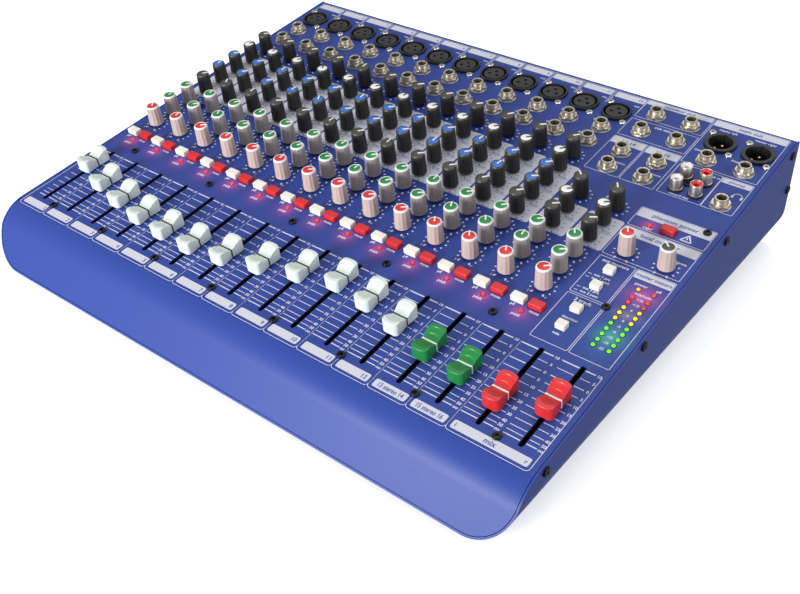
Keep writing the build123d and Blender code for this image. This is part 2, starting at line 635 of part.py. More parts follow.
def xlr_output_shell():
    shell = cylinder(XLR_RADIUS, -XLR_DEPTH, XLR_RIM)
    shell -= cylinder(XLR_BORE_RADIUS, -XLR_DEPTH + XLR_OUTPUT_FLOOR, 2 * XLR_RIM)
    for x, y in xlr_contact_places():
        shell -= Pos(x, y, 0) * cylinder(XLR_PIN_RADIUS + XLR_PIN_FIT, -XLR_DEPTH - 1, 0)
    wide, deep, low = XLR_KEY
    key = Pos(0, XLR_BORE_RADIUS - XLR_KEY_INSET) * block(wide, deep, -low, XLR_RIM + 1)
    return shell - key


def xlr_output_pin_set():
    pin = cylinder(XLR_PIN_RADIUS, -XLR_DEPTH, XLR_PIN_TOP_Z)
    pin = fillet(pin.edges().sort_by(Axis.Z)[-1], XLR_PIN_TIP)
    return repeat(pin, xlr_contact_places())


def jack_bushing():
    """Bushing whose plain guide for the plug is above the nut; it is relieved below that."""
    seat = -PANEL_THICKNESS - JACK_SEAT_GAP
    bush = tube(JACK_BUSH_RADIUS, JACK_BORE_RADIUS, seat, JACK_BUSH_TOP)
    mouth = bush.faces().sort_by(Axis.Z)[-1].edges()
    bush = chamfer(mouth, JACK_BUSH_EDGE)
    guide_low = JACK_BUSH_TOP - JACK_BUSH_EDGE - JACK_GUIDE_LENGTH
    bush -= cylinder(JACK_BORE_RADIUS + JACK_RELIEF, 2 * seat, guide_low)
    return bush + tube(
        JACK_BUSH_RADIUS + JACK_FLANGE, JACK_BORE_RADIUS + JACK_RELIEF, seat - JACK_FLANGE_THICKNESS, seat)


def jack_body():
    top = -PANEL_THICKNESS - JACK_FLANGE_THICKNESS - 2 * JACK_SEAT_GAP
    body = block(JACK_BODY_SIDE, JACK_BODY_SIDE, JACK_BOARD_TOP_Z, top)
    return body - cylinder(JACK_BORE_RADIUS + JACK_RELIEF, JACK_BOARD_TOP_Z + JACK_BODY_FLOOR, 0)


def jack_nut():
    """Hexagon nut; its flats face the front."""
    hexagon = RegularPolygon(NUT_ACROSS_FLATS / 2, 6, major_radius=False)
    nut = Pos(0, 0, WASHER_THICKNESS + NUT_GAP) * extrude(hexagon, amount=NUT_HEIGHT)
    return nut - cylinder(JACK_BUSH_RADIUS + SHAFT_FIT, 0, JACK_BUSH_TOP)


def jack_washer():
    return tube(WASHER_RADIUS, JACK_BUSH_RADIUS + SHAFT_FIT, 0, WASHER_THICKNESS)


def phono_shell():
    """Plated shell that a plug's ring slides over, thicker at its root in the base and the panel."""
    inner = PHONO_RADIUS - PHONO_WALL
    root = tube(PHONO_RADIUS + PHONO_ROOT, inner, -PANEL_THICKNESS - PHONO_SHELL_DEPTH, PHONO_BASE_HEIGHT)
    return root + tube(PHONO_RADIUS, inner, PHONO_BASE_HEIGHT, PHONO_TOP)


def phono_insert():
    inner = cylinder(PHONO_RADIUS - PHONO_WALL - SHAFT_FIT, JACK_BOARD_TOP_Z, PHONO_TOP - PHONO_INSERT_DROP)
    return inner - cylinder(PHONO_BORE_RADIUS, -PHONO_BORE_DEPTH, PHONO_TOP)


def phono_base():
    return tube(PHONO_BASE_RADIUS, PHONO_RADIUS + PHONO_ROOT + SHAFT_FIT, 0, PHONO_BASE_HEIGHT)


# ---------------------------------------------------------------- screws and lamps
def pan_head(head_radius, head_height, shank_length, recess):
    head = cylinder(head_radius, 0, head_height)
    head = fillet(head.edges().sort_by(Axis.Z)[-1], head_height * 0.5)
    for turn in (0, 60, 120):
        head -= Rot(0, 0, turn) * block(recess, RECESS_BLADE, head_height * 0.35, head_height + 1)
    return head + cylinder(SCREW_SHANK_RADIUS, -shank_length, 0)


def side_screws():
    screw = pan_head(SIDE_HEAD_RADIUS, SIDE_HEAD_HEIGHT, SHORT_SCREW_LENGTH, SIDE_RECESS)
    turned = [Pos(s * CASE_WIDTH / 2, y, z) * Rot(0, s * 90, 0) * screw for s in (-1, 1) for y, z in SIDE_SCREWS]
    return [PANEL * piece for piece in turned]


def led():
    ring, thickness = LED_FLANGE
    lamp = cylinder(LED_RADIUS, -LED_DEPTH, LED_TOP)
    lamp = fillet(lamp.edges().sort_by(Axis.Z)[-1], LED_RADIUS * 0.85)
    return lamp + cylinder(LED_RADIUS + ring, -LED_DEPTH - thickness, -LED_DEPTH)


# ---------------------------------------------------------------- boards and supply
def standoffs():
    """Threaded pillars between the top panel and the boards, under the panel screws."""
    inner = SCREW_SHANK_RADIUS + STANDOFF_FIT
    return repeat(tube(inner + STANDOFF_WALL, inner, BOARD_TOP_Z, -PANEL_THICKNESS), SCREW_PLACES)


def fader_board():
    return board(SLOT_FRONT_Y - TRACK_END - BOARD_GAP, FADER_BOARD_REAR_Y, BOARD_TOP_Z)


def board(front, rear, top):
    width = 2 * PANEL_EDGE_X - BOARD_EDGE_GAP
    return Pos(0, (front + rear) / 2) * block(width, rear - front, top - BOARD_THICKNESS, top)


def channel_board():
    """Board under the knobs and buttons, stepped back where sockets stand beside it."""
    rear = KNOB_LAST_ROW_Y + CHANNEL_BOARD_MARGIN
    stepped_rear = rear - STEREO_BOARD_MARGIN
    wide = COLUMN_PITCH * COLUMN_COUNT
    step = block(wide, wide, BOARD_TOP_Z - 2 * BOARD_THICKNESS, 0)
    corner = Pos(column(MONO_COLUMNS - 0.5) + wide / 2, stepped_rear + wide / 2)
    return board(FADER_BOARD_REAR_Y + BOARD_GAP, rear, BOARD_TOP_Z) - corner * step


def socket_board():
    return board(FRONT_JACK_Y - SOCKET_BOARD_FRONT, CASE_REAR_Y - SOCKET_BOARD_REAR, JACK_BOARD_TOP_Z)


def power_supply_board():
    low = FLOOR_Z + SUPPLY_HEIGHT
    return Pos(*SUPPLY_PLACE) * block(*SUPPLY_BOARD, low, low + BOARD_THICKNESS)


def supply_pillars():
    x, y = SUPPLY_PLACE
    reach_x = SUPPLY_BOARD[0] / 2 - PILLAR_INSET[0]
    reach_y = SUPPLY_BOARD[1] / 2 - PILLAR_INSET[1]
    places = [(x + sx * reach_x, y + sy * reach_y) for sx in (-1, 1) for sy in (-1, 1)]
    return repeat(cylinder(PILLAR_RADIUS, FLOOR_Z, FLOOR_Z + SUPPLY_HEIGHT), places)


def supply_parts():
    """Capacitors and a heat sink standing on the supply board."""
    top = FLOOR_Z + SUPPLY_HEIGHT + BOARD_THICKNESS
    parts = repeat(cylinder(CAN_RADIUS, top, top + CAN_HEIGHT), CAN_PLACES)
    wide, deep, tall = SINK_SIZE
    parts += repeat(block(wide, deep, top, top + tall), [SINK_PLACE])
    return repeat_at(parts, SUPPLY_PLACE)


def mains_transformer():
    """Ring transformer held to the floor by its centre bolt."""
    ring = tube(TRANSFORMER_RADIUS, TRANSFORMER_HOLE, FLOOR_Z, FLOOR_Z + TRANSFORMER_HEIGHT)
    return Pos(*TRANSFORMER_PLACE) * ring


def transformer_clamp():
    top = FLOOR_Z + TRANSFORMER_HEIGHT
    plate_top = top + CLAMP_THICKNESS
    clamp = cylinder(CLAMP_RADIUS, top, plate_top) + cylinder(CLAMP_BOLT_RADIUS, FLOOR_Z, top)
    clamp += cylinder(CLAMP_HEAD[0], plate_top, plate_top + CLAMP_HEAD[1])
    return Pos(*TRANSFORMER_PLACE) * clamp


def rear_facing(shape):
    """Turns a piece that was drawn along +z to face out of the rear panel."""
    return PANEL * (Pos(0, CASE_REAR_Y, REAR_CONTROLS_Z) * Rot(-90, 0, 0) * shape)


def mains_inlet():
    """Three-blade mains inlet; its cavity opens to the rear."""
    inlet = block(*INLET_FLANGE, REAR_SEAT, INLET_LIP) + block(*INLET_BODY, -INLET_DEPTH, INLET_LIP)
    inlet -= block(*INLET_CAVITY, -INLET_WELL, 2 * INLET_LIP)
    for side in (-1, 1):
        inlet -= Pos(side * INLET_SCREW_SPACING / 2, 0) * cylinder(SCREW_HOLE_RADIUS, -9, 9)
    wide, long, tall = INLET_BLADE
    for x, y in INLET_BLADES:
        inlet += Pos(x, y) * block(wide, long, -INLET_WELL - 1, tall - INLET_WELL)
    return rear_facing(Pos(INLET_X, 0) * inlet)


def inlet_screws():
    screw = pan_head(SCREW_HEAD_RADIUS, SCREW_HEAD_HEIGHT, SCREW_LENGTH, SHORT_SCREW_RECESS)
    places = [(INLET_X + side * INLET_SCREW_SPACING / 2, 0) for side in (-1, 1)]
    return [rear_facing(Pos(x, y, INLET_LIP) * screw) for x, y in places]


def power_switch_frame():
    frame = block(*ROCKER_FRAME, REAR_SEAT, FRAME_LIP) + block(*ROCKER_BODY, -FRAME_DEPTH, FRAME_LIP)
    wide, long = ROCKER_SIZE[1] + 2 * ROCKER_SWING, ROCKER_SIZE[0] + 2 * FIT_CLEARANCE
    frame -= block(wide, long, -ROCKER_WELL, 2 * FRAME_LIP)
    return rear_facing(Pos(SWITCH_X, 0) * frame)


def power_rocker():
    """Rocker on a cross pin, shown pressed on its right side, which is on."""
    long, wide = ROCKER_SIZE[1], ROCKER_SIZE[0]
    half = long / 2
    foot = half - ROCKER_SWING
    rise = ROCKER_TOP + half * math.tan(math.radians(ROCKER_ANGLE))
    outline = Polyline(
        (-half, rise), (0, ROCKER_TOP - ROCKER_DISH), (half, rise),
        (foot, -ROCKER_SHOULDER), (0, -ROCKER_DEPTH), (-foot, -ROCKER_SHOULDER), close=True)
    rocker = extrude(Plane.XZ * make_face(outline), amount=wide / 2, both=True)
    rocker = Rot(0, ROCKER_ANGLE, 0) * rocker
    return rear_facing(Pos(SWITCH_X, 0) * rocker)


# ---------------------------------------------------------------- the assembly
def on_panel(solids):
    return [PANEL * solid for solid in solids]


def nodes():
    """Every node by name, as a list of solids in the row frame."""
    parts = {
        "top_panel": top_panel(),
        "base_tray": base_tray(),
        "rear_panel": rear_panel(),
        "rubber_feet": rubber_feet(),
        "side_screws": side_screws(),
        "panel_screws": on_panel(repeat(
            pan_head(SCREW_HEAD_RADIUS, SCREW_HEAD_HEIGHT, SCREW_LENGTH, SCREW_RECESS),
            SCREW_PLACES + [PHONO_SCREW])),
        "board_standoffs": on_panel(standoffs()),
        "fader_board": on_panel([fader_board()]),
        "channel_board": on_panel([channel_board()]),
        "socket_board": on_panel([socket_board()]),
        "power_supply_board": [power_supply_board()] + supply_pillars() + supply_parts(),
        "mains_transformer": [mains_transformer(), transformer_clamp()],
        "mains_inlet": [mains_inlet()] + inlet_screws(),
        "power_switch_frame": [power_switch_frame()],
        "power_rocker": [power_rocker()],
        "fader_tracks": on_panel(fader_tracks()),
        "xlr_input_shells": on_panel(repeat(xlr_input_shell(), xlr_places()[:MONO_COLUMNS])),
        "xlr_input_inserts": on_panel(repeat(xlr_input_insert(), xlr_places()[:MONO_COLUMNS])),
        "xlr_output_shells": on_panel(repeat(xlr_output_shell(), xlr_places()[MONO_COLUMNS:])),
        "xlr_screws": on_panel(repeat(
            pan_head(SCREW_HEAD_RADIUS, SCREW_HEAD_HEIGHT, SHORT_SCREW_LENGTH, SHORT_SCREW_RECESS),
            xlr_screw_places())),
        "jack_bushings": on_panel(repeat(jack_bushing(), JACKS)),
        "jack_bodies": on_panel(repeat(jack_body(), JACKS)),
        "jack_nuts": on_panel(repeat(jack_nut(), JACKS) + repeat(jack_washer(), JACKS)),
        "phono_sockets": on_panel(
            repeat(phono_shell(), PHONOS) + repeat(phono_insert(), PHONOS) + repeat(phono_base(), PHONOS)),
        "indicator_lamps": on_panel(repeat(led(), led_places())),
        "switch_bodies": on_panel(switch_bodies()),
        "control_bodies": on_panel(control_bodies(list(KNOB_PLACES.values()) + list(LOCAL_KNOBS.values()))),
        "aux_and_pan_knobs": on_panel(repeat(knob(KNOB_TOP), fixed_knobs(range(3)))),
        "tone_and_gain_knobs": on_panel(repeat(knob(KNOB_TOP), fixed_knobs(range(3, 8)))),
        "control_shafts": on_panel(repeat(shaft(), fixed_knobs(range(8)))),
    }
    pins = [Pos(x, y) * pin for x, y in xlr_places()[MONO_COLUMNS:] for pin in xlr_output_pin_set()]
    parts["xlr_output_pins"] = on_panel(pins)
    for name, key in LIVE_KNOBS.items():
        parts[name] = on_panel(repeat(knob(KNOB_TOP), [KNOB_PLACES[key]]) + repeat(shaft(), [KNOB_PLACES[key]]))
    for name, place in LOCAL_KNOBS.items():
        parts[name] = on_panel(repeat(knob(LOCAL_KNOB_TOP), [place]) + repeat(shaft(), [place]))
    for name, place in SQUARE_BUTTONS.items():
        parts[name] = on_panel(repeat(button(SMALL_BUTTON), [place]))
    wide = button(WIDE_BUTTON)
    parts["listen_buttons"] = on_panel(repeat(wide, button_places()[0:-1:2]))
    parts["mute_buttons"] = on_panel(repeat(wide, button_places()[1:-1:2]))
    parts["phantom_button"] = on_panel(repeat(wide, [PHANTOM_PLACE]))
    cap = fader_cap()
    lever = fader_lever()
    for index in range(COLUMN_COUNT):
        place = [(column(index), FADER_PLACES[index])]
        parts[f"fader_{index + 1:02d}"] = on_panel(repeat(cap, place) + repeat(lever, place))
    return parts


os.makedirs("parts", exist_ok=True)
for name, solids in nodes().items():
    pieces = [solid for shape in solids for solid in shape.solids()]
    export_step(Compound(children=pieces), f"parts/{name}.step")
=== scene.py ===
# %% [markdown]
# # A mixing console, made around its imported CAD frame
# The frame gives every part its size and place. This lesson adds what a painter, a printer
# and a moulder would add: powder coat, silk-screened scales, fluted knobs, finger-shaped
# fader caps, threaded sockets and lit lamps. Each shape is a formula on a grid of numbers.

# %% Load the fixed frame
import json
import math
import bpy
import numpy as np
from mathutils import Matrix, Vector


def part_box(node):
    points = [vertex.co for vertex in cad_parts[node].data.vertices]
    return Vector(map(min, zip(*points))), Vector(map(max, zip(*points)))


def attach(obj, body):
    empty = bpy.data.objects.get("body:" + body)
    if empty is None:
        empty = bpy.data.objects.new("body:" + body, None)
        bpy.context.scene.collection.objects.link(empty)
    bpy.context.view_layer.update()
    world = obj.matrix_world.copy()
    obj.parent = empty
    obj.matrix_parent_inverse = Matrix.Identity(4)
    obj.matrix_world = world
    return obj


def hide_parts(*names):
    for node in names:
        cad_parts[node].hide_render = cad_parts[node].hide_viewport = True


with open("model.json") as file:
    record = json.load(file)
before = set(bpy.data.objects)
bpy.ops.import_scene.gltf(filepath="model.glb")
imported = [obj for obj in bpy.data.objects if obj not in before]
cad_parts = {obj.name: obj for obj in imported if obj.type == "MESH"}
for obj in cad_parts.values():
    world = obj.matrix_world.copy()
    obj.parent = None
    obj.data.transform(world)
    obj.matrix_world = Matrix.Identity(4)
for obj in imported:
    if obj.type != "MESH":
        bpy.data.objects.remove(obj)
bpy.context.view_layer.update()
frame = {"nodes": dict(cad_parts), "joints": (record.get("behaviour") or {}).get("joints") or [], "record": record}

scene = bpy.context.scene
record = frame["record"]

# %% [markdown]
# ## The panel as a drawing board
# Everything on the sloping panel is easier to lay out flat. The direction that the faders
# slide in is the board's y, and the axis that a knob turns about is its z, so both are read
# from the frame's joints. A socket's place then fixes where the board lies. Lengths on the
# board are in millimetres, and one function turns them into the frame's metres.

# %% Panel axes and the way from board to frame
joints = {joint["name"]: joint for joint in frame["joints"]}
mounts = {mount["name"]: mount for mount in record["mounts"]}
PANEL_Y = np.array(joints["fader_01_slide"]["axis"])
PANEL_Z = np.array(joints["pan_knob_turn"]["axis"])
SOCKET_ROW_Y = 294.5
SOCKET_RIM = 2.0
first_socket = np.array(mounts["microphone_input_01"]["pos_m"])
PANEL_ORIGIN = first_socket - (SOCKET_ROW_Y * PANEL_Y + SOCKET_RIM * PANEL_Z) / 1000
PANEL_ORIGIN[0] = 0.0


def to_row(points):
    """Board points (x, y, z) in mm, as an array, to frame points in metres."""
    points = np.asarray(points, float)
    turned = points[..., 1:2] * PANEL_Y + points[..., 2:3] * PANEL_Z
    turned[..., 0] += points[..., 0]
    return PANEL_ORIGIN + turned / 1000


def to_board(point):
    """A frame point in metres, as (x, y, z) on the board in mm."""
    away = (np.array(point) - PANEL_ORIGIN) * 1000
    return np.array([away[0], away @ PANEL_Y, away @ PANEL_Z])


def middle(node):
    """Middle of a CAD node's box, on the board."""
    low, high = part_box(node)
    return to_board((np.array(low) + np.array(high)) / 2)


COLUMNS = 16
MONO = 12
PITCH = (middle("fader_16")[0] - middle("fader_01")[0]) / (COLUMNS - 1)


def column(index):
    return (index - (COLUMNS - 1) / 2) * PITCH


print("column pitch", round(PITCH, 3), "panel slope", round(math.degrees(math.asin(PANEL_Y[2])), 2))

# %% [markdown]
# ## Camera and soft studio
# The camera stands to the right of the front edge, high above it and close enough for strong
# perspective. A pale lamp above, a low one before the front edge and an even surround give
# the bright front, the darker bend behind it and soft shadows.

# %% Camera
CAMERA_PLACE = (371.7, -267.6, 406.8)
CAMERA_VIEW = (-0.4918, 0.5415, -0.6818)
CAMERA_UP = (-0.3677, 0.5807, 0.7264)
SENSOR_WIDTH = 36.0
FOCAL_LENGTH = 44.72


def board_direction(vector):
    turned = vector[1] * PANEL_Y + vector[2] * PANEL_Z
    turned[0] += vector[0]
    return Vector(turned).normalized()


camera_data = bpy.data.cameras.new("camera")
camera_data.sensor_width = SENSOR_WIDTH
camera_data.lens = FOCAL_LENGTH
camera_data.clip_start = 0.01
camera = bpy.data.objects.new("camera", camera_data)
scene.collection.objects.link(camera)
looking = board_direction(CAMERA_VIEW)
upward = board_direction(CAMERA_UP)
sideways = looking.cross(upward).normalized()
upward = sideways.cross(looking)
turn = Matrix((sideways, upward, -looking)).transposed().to_4x4()
camera.matrix_world = Matrix.Translation(Vector(to_row(CAMERA_PLACE))) @ turn
scene.camera = camera
scene.view_settings.view_transform = "Standard"

# %% Lamps and surround


def area_lamp(name, place, target, size, power):
    """A soft square lamp at place that faces target."""
    data = bpy.data.lights.new(name, "AREA")
    data.size = size
    data.energy = power
    lamp = bpy.data.objects.new(name, data)
    scene.collection.objects.link(lamp)
    lamp.location = place
    aim = Vector(target) - Vector(place)
    lamp.rotation_euler = aim.to_track_quat("-Z", "Y").to_euler()
    return lamp


area_lamp("top_lamp", (0.1, 0.5, 1.5), (0, 0, 0), 1.2, 9)
area_lamp("front_lamp", (-0.3, -1.5, 0.32), (0, -0.18, 0.03), 0.6, 30)
area_lamp("right_lamp", (1.6, 0.0, 0.5), (0, 0, 0), 0.8, 6)
world = bpy.data.worlds.new("surround")
scene.world = world
world.use_nodes = True
world.node_tree.nodes["Background"].inputs["Color"].default_value = (1.0, 1.0, 1.0, 1.0)
world.node_tree.nodes["Background"].inputs["Strength"].default_value = 0.4

# %% [markdown]
# ## Mesh and shader helpers
# A grid of points becomes a mesh by joining each point to its neighbours. Many equal pieces
# share one mesh: the same small grid is copied to each place as one array, with no loop
# over points. A material is written as sums of sockets, so a small class lets Python's own
# + and * build the nodes.

# %% Meshes from arrays


class Pile:
    """Collects points and faces in board millimetres and makes one mesh of them."""

    def __init__(self):
        self.points = []
        self.faces = []
        self.count = 0

    def add(self, points, faces):
        points = np.asarray(points, float).reshape(-1, 3)
        self.points.append(points)
        self.faces.extend([tuple(int(i) + self.count for i in face) for face in faces])
        self.count += len(points)
        return self

    def copies(self, points, faces, places, turns=None):
        """The same points at each place (x, y, z), turned clockwise by turns in degrees."""
        turns = np.zeros(len(places)) if turns is None else np.radians(np.asarray(turns, float))
        for place, angle in zip(places, turns):
            cos, sin = math.cos(angle), math.sin(angle)
            x = points[:, 0] * cos + points[:, 1] * sin
            y = -points[:, 0] * sin + points[:, 1] * cos
            self.add(np.stack([x, y, points[:, 2]], 1) + np.asarray(place), faces)
        return self

    def make(self, name, body, material, smooth=None, replaces=(), slot=None, in_row=False):
        """The mesh as an object that rides on a body; smooth is the sharpest smooth edge in degrees."""
        points = np.concatenate(self.points)
        mesh = bpy.data.meshes.new(name)
        mesh.from_pydata((points if in_row else to_row(points)).tolist(), [], self.faces)
        mesh.update()
        if smooth:
            mesh.shade_smooth()
            mesh.set_sharp_from_angle(angle=math.radians(smooth))
        piece = bpy.data.objects.new(name, mesh)
        scene.collection.objects.link(piece)
        piece.data.materials.append(material)
        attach(piece, body)
        if replaces:
            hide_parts(*replaces)
        print(name, len(points), "points", len(self.faces), "faces")
        return piece


def grid_faces(rows, columns, closed=True):
    """Quads between the rows of a grid whose columns run round (closed) or stop (open)."""
    row, col = np.meshgrid(np.arange(rows - 1), np.arange(columns if closed else columns - 1), indexing="ij")
    after = (col + 1) % columns
    quads = [row * columns + col, row * columns + after, (row + 1) * columns + after, (row + 1) * columns + col]
    return np.stack(quads, -1).reshape(-1, 4).tolist()


def turned(profile, steps, radius_rule=None):
    """A profile of (radius, height) turned about z; radius_rule(angle, radius, height) may shape it.
    A point is (r cos a, r sin a, h). Radius 0 at an end closes it with one point."""
    profile = np.asarray(profile, float)
    angle = np.arange(steps) * 2 * math.pi / steps
    radius = np.repeat(profile[:, :1], steps, 1)
    height = np.repeat(profile[:, 1:], steps, 1)
    if radius_rule:
        radius = radius_rule(angle[None, :], radius, height)
    points = np.stack([radius * np.cos(angle), radius * np.sin(angle), height], -1)
    faces = grid_faces(len(profile), steps)
    return close_poles(points, faces, profile, steps)


def close_poles(points, faces, profile, steps):
    """Swaps the ring at a zero radius for a single point with triangles."""
    rows = len(profile)
    flat = points.reshape(-1, 3)
    index = np.arange(rows * steps)
    for row in (0, rows - 1):
        if profile[row, 0] == 0:
            index[row * steps:(row + 1) * steps] = row * steps
    keep, fresh = np.unique(index, return_inverse=True)
    cleaned = []
    for face in faces:
        ring = list(dict.fromkeys(fresh[i] for i in face))
        if len(ring) > 2:
            cleaned.append(tuple(ring))
    return flat[keep], cleaned


def rounded_block(size_x, size_y, low, high, corner, edge, steps=24, crown=0.0):
    """A block with rounded corners and a rounded upper edge; crown lowers or raises its middle."""
    angle = (np.arange(steps) + 0.5) * 2 * math.pi / steps
    swing = np.linspace(0, math.pi / 2, 4)
    inset = np.concatenate([[0.0], edge * (1 - np.cos(swing)), [min(size_x, size_y) * 0.25]])
    height = np.concatenate([[low], high - edge + edge * np.sin(swing), [high + crown]])
    half = np.array([size_x / 2, size_y / 2])
    core = half - corner
    unit = np.stack([np.cos(angle), np.sin(angle)], -1)
    outline = np.sign(unit) * core + unit * corner
    normal = unit / np.abs(unit).max(-1, keepdims=True)
    rings = []
    for step, z in zip(inset, height):
        ring = outline - np.sign(normal) * np.minimum(np.abs(normal) * step, np.abs(outline))
        rings.append(np.concatenate([ring, np.full((steps, 1), z)], 1))
    points = np.stack(rings)
    faces = grid_faces(len(rings), steps)
    faces.append(tuple((len(rings) - 1) * steps + i for i in range(steps)))
    faces.append(tuple(reversed(range(steps))))
    return points.reshape(-1, 3), faces


# %% Shader maths


class Wire:
    """A shader socket that +, -, *, / and comparisons work on."""

    def __init__(self, paint, socket):
        self.paint = paint
        self.socket = socket

    def maths(self, operation, first, second):
        return self.paint.node("ShaderNodeMath", {"operation": operation}, {0: first, 1: second})

    def __add__(self, other):
        return self.maths("ADD", self, other)

    def __sub__(self, other):
        return self.maths("SUBTRACT", self, other)

    def __rsub__(self, other):
        return self.maths("SUBTRACT", other, self)

    def __mul__(self, other):
        return self.maths("MULTIPLY", self, other)

    def __truediv__(self, other):
        return self.maths("DIVIDE", self, other)

    def __rtruediv__(self, other):
        return self.maths("DIVIDE", other, self)

    def __lt__(self, other):
        return self.maths("LESS_THAN", self, other)

    def __gt__(self, other):
        return self.maths("GREATER_THAN", self, other)

    __radd__ = __add__
    __rmul__ = __mul__


class Paint:
    """One material's nodes. Its keyword settings set the shader's other sockets."""

    def __init__(self, name, colour, roughness, metallic=0.0, **settings):
        self.material = bpy.data.materials.new(name)
        self.material.use_nodes = True
        self.tree = self.material.node_tree
        self.shader = self.tree.nodes["Principled BSDF"]
        self.shader.inputs["Base Color"].default_value = (*colour, 1.0)
        self.shader.inputs["Roughness"].default_value = roughness
        self.shader.inputs["Metallic"].default_value = metallic
        for key, value in settings.items():
            self.shader.inputs[key.replace("_", " ")].default_value = value
        self.colour = colour
        self.roughness = roughness

    def node(self, kind, settings, inputs, output=0):
        made = self.tree.nodes.new(kind)
        for key, value in settings.items():
            setattr(made, key, value)
        for key, value in inputs.items():
            if isinstance(value, Wire):
                self.tree.links.new(value.socket, made.inputs[key])
            else:
                made.inputs[key].default_value = value
        return Wire(self, made.outputs[output])

    def place(self):
        """Object coordinates: the frame's metres."""
        return self.node("ShaderNodeTexCoord", {}, {}, "Object")

    def noise(self, scale, detail=2.0, roughness=0.5):
        sockets = {"Vector": self.place(), "Scale": scale, "Detail": detail, "Roughness": roughness}
        return self.node("ShaderNodeTexNoise", {}, sockets, "Fac")

    def blend(self, factor, first, second):
        """A mix of two colours by a factor."""
        made = self.tree.nodes.new("ShaderNodeMix")
        made.data_type = "RGBA"
        for index, value in ((0, factor), (6, first), (7, second)):
            if isinstance(value, Wire):
                self.tree.links.new(value.socket, made.inputs[index])
            else:
                made.inputs[index].default_value = value if index == 0 else (*value, 1.0)
        return Wire(self, made.outputs[2])

    def feed(self, socket, wire):
        self.tree.links.new(wire.socket, self.shader.inputs[socket])
        return self

    def bump(self, height, strength, distance):
        sockets = {"Height": height, "Strength": strength, "Distance": distance}
        return self.feed("Normal", self.node("ShaderNodeBump", {}, sockets))


def shade(colour, factor):
    return tuple(min(1.0, channel * factor) for channel in colour)


def moulded(name, colour, roughness=0.42, grain=2600.0, depth=0.00002, spread=0.12, **settings):
    """Moulded plastic: a faint grain in the gloss and a slow change of shade."""
    paint = Paint(name, colour, roughness, **settings)
    slow = paint.noise(60.0)
    paint.feed("Base Color", paint.blend(slow, shade(colour, 1 - spread), shade(colour, 1 + spread)))
    fine = paint.noise(grain, 1.0)
    paint.feed("Roughness", fine * 0.16 + (roughness - 0.08))
    paint.bump(fine, 0.25, depth)
    return paint.material


def metal(name, colour, roughness, wear=0.12, grain=900.0):
    """Plated or bare metal: the gloss varies in patches, with fine handling marks."""
    paint = Paint(name, colour, roughness, 1.0)
    slow = paint.noise(140.0, 3.0)
    paint.feed("Base Color", paint.blend(slow, shade(colour, 0.82), shade(colour, 1.1)))
    fine = paint.noise(grain, 3.0, 0.6)
    paint.feed("Roughness", fine * wear + (roughness - wear / 2))
    paint.bump(fine, 0.1, 0.00001)
    return paint.material


print("helpers ready")

# %% [markdown]
# ## Powder coat
# The case is steel under a fine-textured blue powder coat. The texture is a small orange
# peel: a noise whose hills are about half a millimetre apart, mostly in the bump and a
# little in the gloss. The light that lit lamps throw on the paint around them is painted
# light: a glow in the paint that falls off with the distance to the nearest lamp on the board.

# %% Board coordinates inside a shader
BLUE = (0.031, 0.064, 0.320)
LAMP_RED = (1.0, 0.03, 0.02)
LAMP_YELLOW = (1.0, 0.72, 0.0)
LAMP_GREEN = (0.12, 0.9, 0.02)
PEAK_ROW_Y = 84.0
METER_X = (193.65, 203.7)
METER_REAR_Y = 128.3
METER_STEP = 5.05
METER_ROWS = 10
STATUS_ROW_Y = 136.0
PHANTOM_LAMP = (171.9, 191.9)
GLOW_REACH = 5.5


def board_wires(paint):
    """x and y on the board, in millimetres, as wires."""
    place = paint.place()
    vector, dot = "ShaderNodeVectorMath", {"operation": "DOT_PRODUCT"}
    offset = paint.node(vector, {"operation": "SUBTRACT"}, {0: place, 1: tuple(PANEL_ORIGIN)})
    across = paint.node(vector, dot, {0: offset, 1: (1, 0, 0)}, "Value")
    along = paint.node(vector, dot, {0: offset, 1: tuple(PANEL_Y)}, "Value")
    return across * 1000, along * 1000


def falloff(across, along, reach):
    """1 / (1 + (distance / reach) squared), squared: bright near 0 and soft further out."""
    near = 1 / (1 + (across * across + along * along) / reach ** 2)
    return near * near


def powder_coat(name, glowing=False):
    paint = Paint(name, BLUE, 0.42, Specular_IOR_Level=0.25)
    cloud = paint.noise(9.0, 2.0)
    peel = paint.noise(1500.0, 1.0)
    speck = paint.noise(2600.0, 0.0)
    shade_low = paint.blend(cloud, shade(BLUE, 0.94), shade(BLUE, 1.05))
    paint.feed("Base Color", paint.blend(speck * 0.5, shade(BLUE, 0.82), shade_low))
    paint.feed("Roughness", peel * 0.14 + 0.36)
    paint.bump(peel, 0.6, 0.00008)
    if glowing:
        # Painted light: the glow of the lit lamps on the panel is emission colour in the coat.
        paint.feed("Emission Color", lamp_glow(paint))
        paint.shader.inputs["Emission Strength"].default_value = 1.0
    return paint.material


